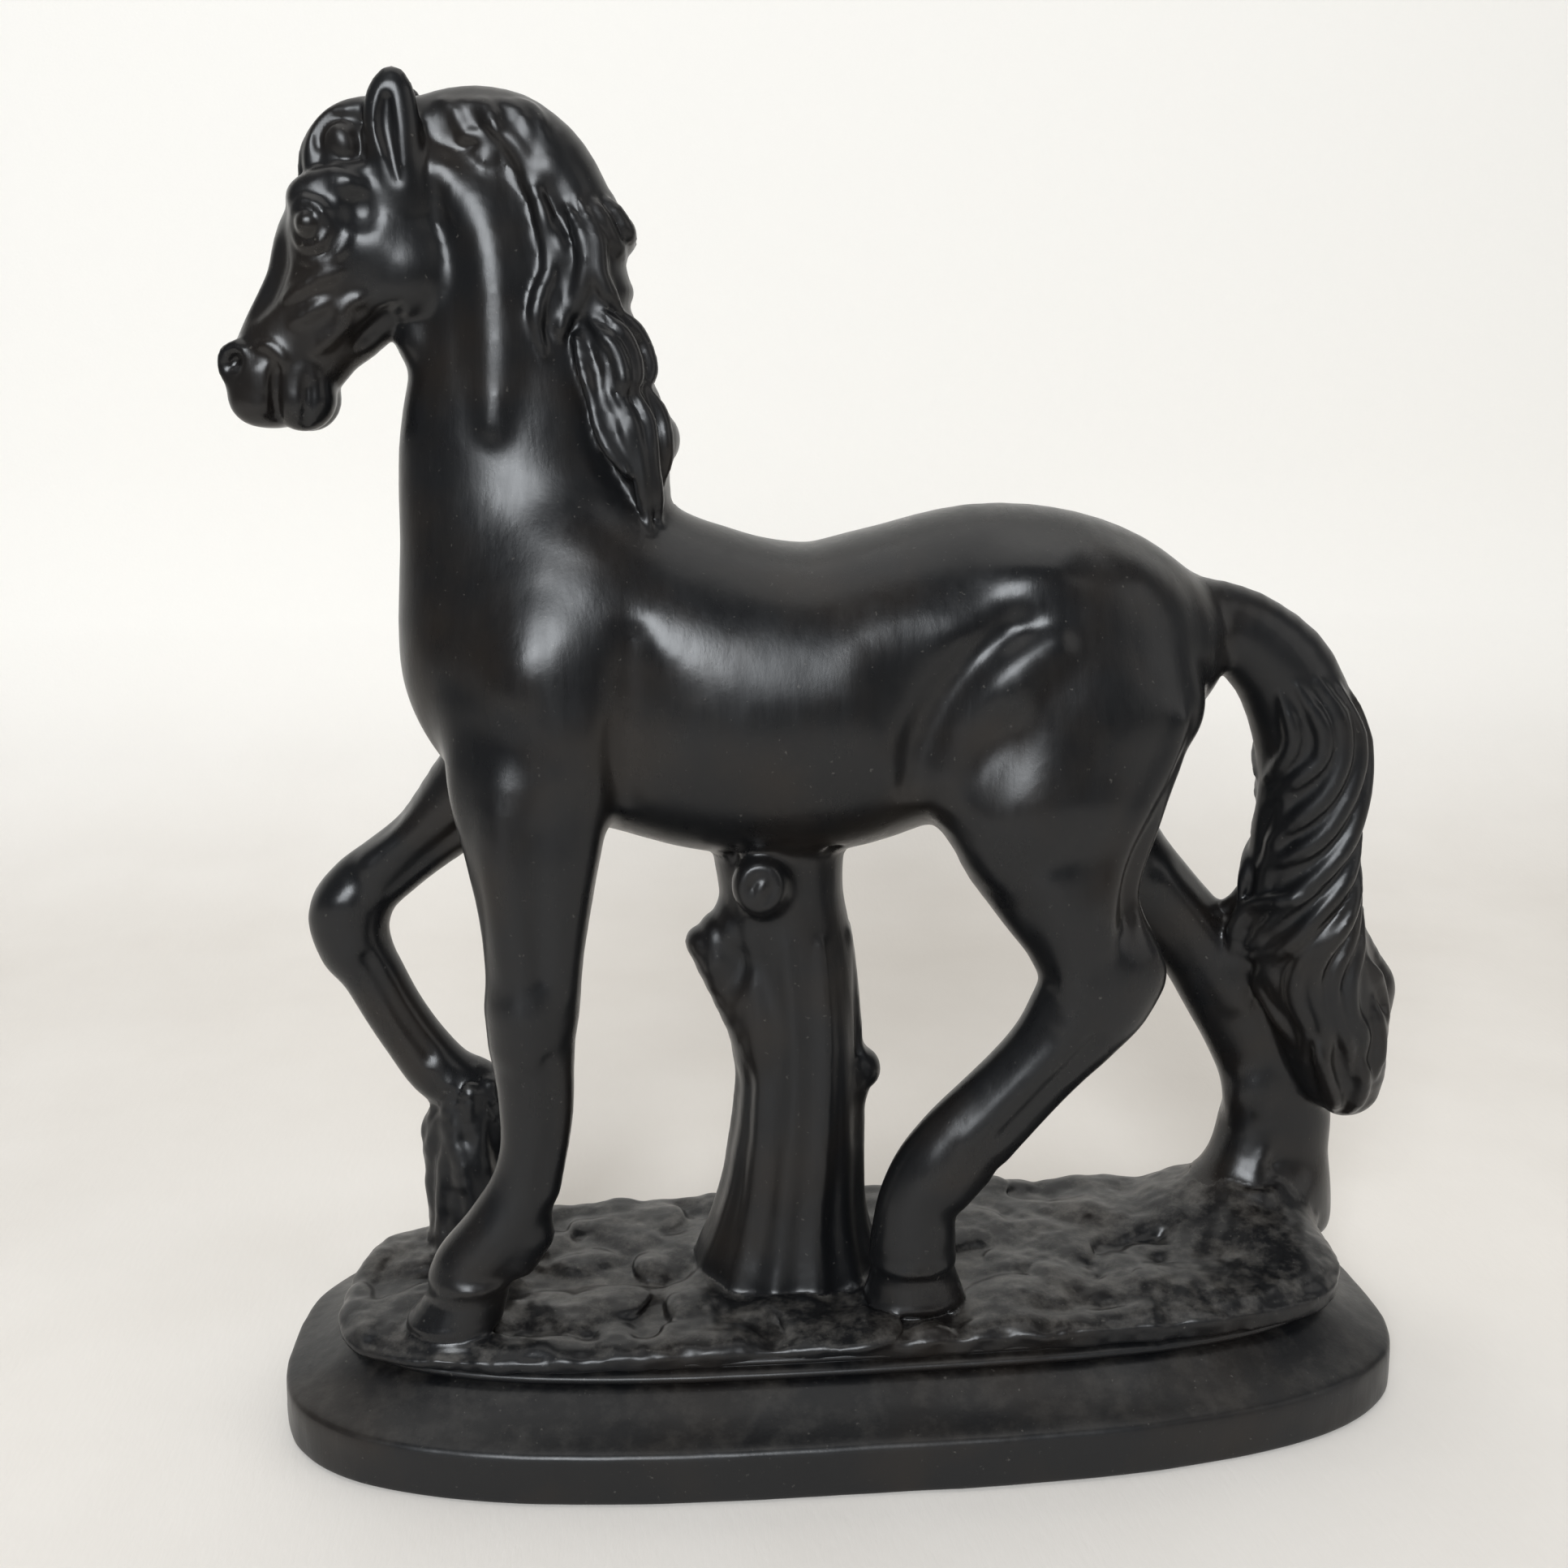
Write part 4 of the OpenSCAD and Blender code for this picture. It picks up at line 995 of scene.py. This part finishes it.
def turned_piece(node, profile, wobble, seed, material):
    """A closed oval piece from a profile of (distance in from the widest rim, height), in mm."""
    low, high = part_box(node)
    length, width = (high[0] - low[0]) / MM, (high[1] - low[1]) / MM
    centre = np.array([(high[0] + low[0]) / 2 / MM, (high[1] + low[1]) / 2 / MM])
    rows = spline(profile, 3)
    count = 480
    rings = []
    for inset, z in rows:
        xy = oval(length - 2 * inset, width - 2 * inset, count) + centre
        rings.append(np.column_stack([xy, np.full(count, z)]))
    points = np.vstack(rings)
    out = points * (1, 2.4, 0)
    out /= np.linalg.norm(out, axis=1)[:, None]
    sway = sum(height * noise(points, size, seed + k) for k, (size, height) in enumerate(wobble))
    points = points + out * (sway - max(h for _, h in wobble))[:, None]
    points[:, 2] += 0.4 * sway * (points[:, 2] > low[2] / MM + 0.05)
    faces = []
    for r in range(len(rows) - 1):
        for k in range(count):
            n = (k + 1) % count
            faces.append((r * count + k, r * count + n, (r + 1) * count + n, (r + 1) * count + k))
    last = (len(rows) - 1) * count
    for start, turn in ((0, -1), (last, 1)):
        centre_index = len(points)
        points = np.vstack([points, points[start:start + count].mean(axis=0)])
        for k in range(count):
            pair = (start + k, start + (k + 1) % count)[::turn]
            faces.append((*pair, centre_index))
    mesh = bpy.data.meshes.new(node + "_cast")
    mesh.from_pydata((points * MM).tolist(), [], faces)
    mesh.shade_smooth()
    return finish_piece(node + "_cast", mesh, node, material)


def cast_plinth(materials):
    """The broad base with its sloping top, and the narrow moulding of two beads on it."""
    base_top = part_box("plinth_base")[1][2] / MM
    low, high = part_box("plinth_moulding")
    bottom, top = low[2] / MM, high[2] / MM
    middle = (bottom + top) / 2
    base = [(1.2, 0), (0.4, 0.5), (0.0, 1.5), (0.0, 6.0), (0.1, 10.2), (0.6, 11.6), (1.8, 12.3),
            (5.0, 13.4), (9.0, 15.2), (12.4, 17.3), (14.5, base_top - 0.3), (19, base_top)]
    turned_piece("plinth_base", base, ((26, 0.45), (9, 0.2), (3.5, 0.08)), 31,
                 materials["painted_plinth"])
    beads = [(5, bottom), (1.2, bottom + 0.1), (0.1, bottom + 0.9), (0.1, middle - 0.9), (1.0, middle - 0.3),
             (2.2, middle), (2.2, middle + 0.25), (1.4, middle + 0.7), (1.2, top - 1.2), (2.0, top - 0.4),
             (3.2, top)]
    turned_piece("plinth_moulding", beads, ((20, 0.35), (6, 0.15), (2.5, 0.06)), 41,
                 materials["painted_plinth"])


# ---------------------------------------------------------------- paint

class Nodes:
    """A short way to write a material's node tree."""

    def __init__(self, name):
        self.material = bpy.data.materials.new(name)
        self.material.use_nodes = True
        self.tree = self.material.node_tree
        self.shader = self.tree.nodes["Principled BSDF"]
        self.place = self.add("ShaderNodeTexCoord").outputs["Object"]

    def add(self, kind, **values):
        node = self.tree.nodes.new(kind)
        for key, value in values.items():
            setattr(node, key, value)
        return node

    def link(self, a, b):
        self.tree.links.new(a, b)

    def noise(self, size_mm, stretch=(1, 1, 1), detail=3.0, rough=0.5):
        """Noise from 0 to 1 with features of about the size, in mm."""
        scale = self.add("ShaderNodeMapping")
        scale.inputs["Scale"].default_value = stretch
        self.link(self.place, scale.inputs["Vector"])
        texture = self.add("ShaderNodeTexNoise")
        texture.inputs["Scale"].default_value = 1 / (size_mm * MM)
        texture.inputs["Detail"].default_value = detail
        texture.inputs["Roughness"].default_value = rough
        self.link(scale.outputs["Vector"], texture.inputs["Vector"])
        return texture.outputs["Fac"]

    def ramp(self, value, start, end, low, high):
        node = self.add("ShaderNodeMapRange", clamp=True)
        for key, number in zip(("From Min", "From Max", "To Min", "To Max"), (start, end, low, high)):
            node.inputs[key].default_value = number
        self.link(value, node.inputs["Value"])
        return node.outputs["Result"]

    def mix(self, fac, a, b):
        node = self.add("ShaderNodeMix", data_type="RGBA")
        self.link(fac, node.inputs["Factor"])
        for socket, colour in (("A", a), ("B", b)):
            target = next(s for s in node.inputs if s.name == socket and s.type == "RGBA")
            if isinstance(colour, tuple):
                target.default_value = (*colour, 1)
            else:
                self.link(colour, target)
        return next(s for s in node.outputs if s.type == "RGBA")

    def math(self, operation, a, b):
        node = self.add("ShaderNodeMath", operation=operation)
        for socket, value in zip(node.inputs, (a, b)):
            if isinstance(value, (int, float)):
                socket.default_value = value
            else:
                self.link(value, socket)
        return node.outputs[0]

    def bump(self, height, strength, distance_mm, under=None):
        node = self.add("ShaderNodeBump")
        node.inputs["Strength"].default_value = strength
        node.inputs["Distance"].default_value = distance_mm * MM
        self.link(height, node.inputs["Height"])
        if under is not None:
            self.link(under, node.inputs["Normal"])
        return node.outputs["Normal"]


INK = (0.0048, 0.0050, 0.0056)
INK_BROWN = (0.0095, 0.0075, 0.0062)
DUST = (0.30, 0.28, 0.25)


def black_paint(name, roughness, dust, brush, grain):
    """Brushed satin black paint: streaks from the brush, warm thin spots, and dust that settled on top."""
    n = Nodes(name)
    warm = n.ramp(n.noise(28), 0.48, 0.68, 0.0, 1.0)
    colour = n.mix(warm, INK, INK_BROWN)
    streaks = n.noise(2.2, (1, 1, 0.16), 4.0, 0.6)
    speck = n.ramp(n.noise(1.1, detail=2.0), 0.70, 0.78, 0.0, 0.5)
    if dust:
        facing = n.add("ShaderNodeSeparateXYZ")
        geometry = n.add("ShaderNodeNewGeometry")
        n.link(geometry.outputs["Normal"], facing.inputs[0])
        up = n.ramp(facing.outputs["Z"], 0.25, 0.95, 0.0, 1.0)
        patches = n.ramp(n.noise(7, detail=6.0, rough=0.7), 0.46, 0.72, 0.0, dust)
        settled = n.math("MULTIPLY", up, patches)
        colour = n.mix(settled, colour, DUST)
    colour = n.mix(n.math("MULTIPLY", speck, 0.25), colour, DUST)
    n.link(colour, n.shader.inputs["Base Color"])
    uneven = n.math("ADD", n.ramp(n.noise(17), 0.3, 0.7, -0.05, 0.06),
                    n.ramp(streaks, 0.3, 0.7, -0.035, 0.035))
    n.link(n.math("ADD", uneven, roughness), n.shader.inputs["Roughness"])
    n.shader.inputs["Specular IOR Level"].default_value = 0.34
    n.shader.inputs["Coat Weight"].default_value = 0.08
    n.shader.inputs["Coat Roughness"].default_value = 0.22
    rough = n.bump(n.noise(0.9, detail=2.0), grain, 0.05)
    n.link(n.bump(streaks, brush, 0.12, rough), n.shader.inputs["Normal"])
    return n.material


def paint_materials():
    """One paint for each slot: roughness, dust, strength of the brush marks, strength of the grain."""
    return {
        "painted_horse": black_paint("painted_horse", 0.30, 0.0, 0.35, 0.25),
        "painted_hair": black_paint("painted_hair", 0.35, 0.0, 0.25, 0.2),
        "painted_bark": black_paint("painted_bark", 0.34, 0.0, 0.5, 0.3),
        "painted_ground": black_paint("painted_ground", 0.35, 0.22, 0.3, 0.5),
        "painted_plinth": black_paint("painted_plinth", 0.38, 0.06, 0.4, 0.3)}


# ---------------------------------------------------------------- floor, light and camera

def stage_material():
    """Pale cloth and a paler wall; behind the camera the floor colour is painted dark, a painted shade that
    stands in for a dim room the paint mirrors.
    """
    floor_tones = (0.70, 0.66, 0.61), (0.78, 0.745, 0.70)
    wall_tone = (0.89, 0.865, 0.82)
    # painted shade: the dark colour that the floor takes behind the camera
    painted_shade_tone = (0.12, 0.115, 0.11)
    n = Nodes("pale_cloth_painted_shade")
    weave = n.noise(1.3, (1, 0.25, 1), 3.0)
    place = n.add("ShaderNodeSeparateXYZ")
    n.link(n.place, place.inputs[0])
    wall = n.ramp(place.outputs["Z"], 0.0, 0.12, 0.0, 1.0)
    cloth = n.mix(n.noise(60), *floor_tones)
    cloth = n.mix(wall, cloth, wall_tone)
    # painted shade: the floor's colour fades from the cloth to the dark tone behind the camera, standing in
    # for the room's shade
    shown = n.ramp(place.outputs["Y"], -0.75, -0.38, 0.0, 1.0)
    n.link(n.mix(shown, painted_shade_tone, cloth), n.shader.inputs["Base Color"])
    n.shader.inputs["Roughness"].default_value = 0.9
    n.link(n.bump(weave, 0.35, 0.3), n.shader.inputs["Normal"])
    return n.material


def build_stage():
    """A pale floor that curves up into a pale wall behind the figure."""
    rows = [(-3.0, 0.0), (0.30, 0.0), (0.36, 0.004), (0.42, 0.02), (0.47, 0.055), (0.50, 0.11), (0.51, 0.2),
            (0.51, 3.0)]
    points = [(x, y, z) for y, z in rows for x in (-3.5, 3.5)]
    faces = [(2 * k, 2 * k + 1, 2 * k + 3, 2 * k + 2) for k in range(len(rows) - 1)]
    mesh = bpy.data.meshes.new("floor_and_wall")
    mesh.from_pydata(points, [], faces)
    mesh.shade_smooth()
    mesh.materials.append(stage_material())
    floor = bpy.data.objects.new("floor_and_wall", mesh)
    bpy.context.scene.collection.objects.link(floor)


def area_light(name, place, target, size, power, colour):
    data = bpy.data.lights.new(name, "AREA")
    data.shape = "RECTANGLE"
    data.size, data.size_y = size
    data.energy = power
    data.color = colour
    lamp = bpy.data.objects.new(name, data)
    lamp.location = place
    lamp.rotation_euler = (Vector(target) - Vector(place)).to_track_quat("-Z", "Y").to_euler()
    bpy.context.scene.collection.objects.link(lamp)


def build_lights():
    """A cool window in front and to the left, weak fill from the right and above, and a dim room."""
    middle = (0, 0, 0.15)
    area_light("window", (-0.36, -1.36, 0.80), middle, (0.8, 0.65), 27, (0.92, 0.96, 1.0))
    area_light("side_fill", (1.3, -0.7, 0.7), middle, (0.8, 1.2), 3, (1.0, 0.97, 0.93))
    area_light("overhead", (0, 0.1, 1.5), middle, (1.6, 1.2), 8, (1.0, 0.98, 0.95))
    world = bpy.data.worlds.new("room")
    world.use_nodes = True
    background = world.node_tree.nodes["Background"]
    background.inputs["Color"].default_value = (0.95, 0.97, 1.0, 1)
    background.inputs["Strength"].default_value = 0.16
    bpy.context.scene.world = world
    bpy.context.scene.view_settings.view_transform = "Standard"


CAMERA_FROM_MIDDLE = (-0.0493, -0.341, 0.076)    # from the middle of the CAD box, metres
CAMERA_DOWN = 12.78                              # degrees below level
CAMERA_TURN = -5.25                              # degrees about Z, from looking along +Y
CAMERA_LENS = 36.37                              # mm, for a sensor 36 mm wide


def build_camera():
    """The photograph's view: close to the near side, a little left of centre, looking down a little."""
    middle = (Vector(CAD_BOX[0]) + Vector(CAD_BOX[1])) / 2
    data = bpy.data.cameras.new("photo_view")
    data.sensor_width = 36
    data.lens = CAMERA_LENS
    camera = bpy.data.objects.new("photo_view", data)
    camera.location = middle + Vector(CAMERA_FROM_MIDDLE)
    camera.rotation_euler = (math.radians(90 - CAMERA_DOWN), 0, math.radians(CAMERA_TURN))
    bpy.context.scene.collection.objects.link(camera)
    bpy.context.scene.camera = camera


paints = paint_materials()
cast_figure(paints)
cast_plinth(paints)
build_stage()
build_lights()
build_camera()
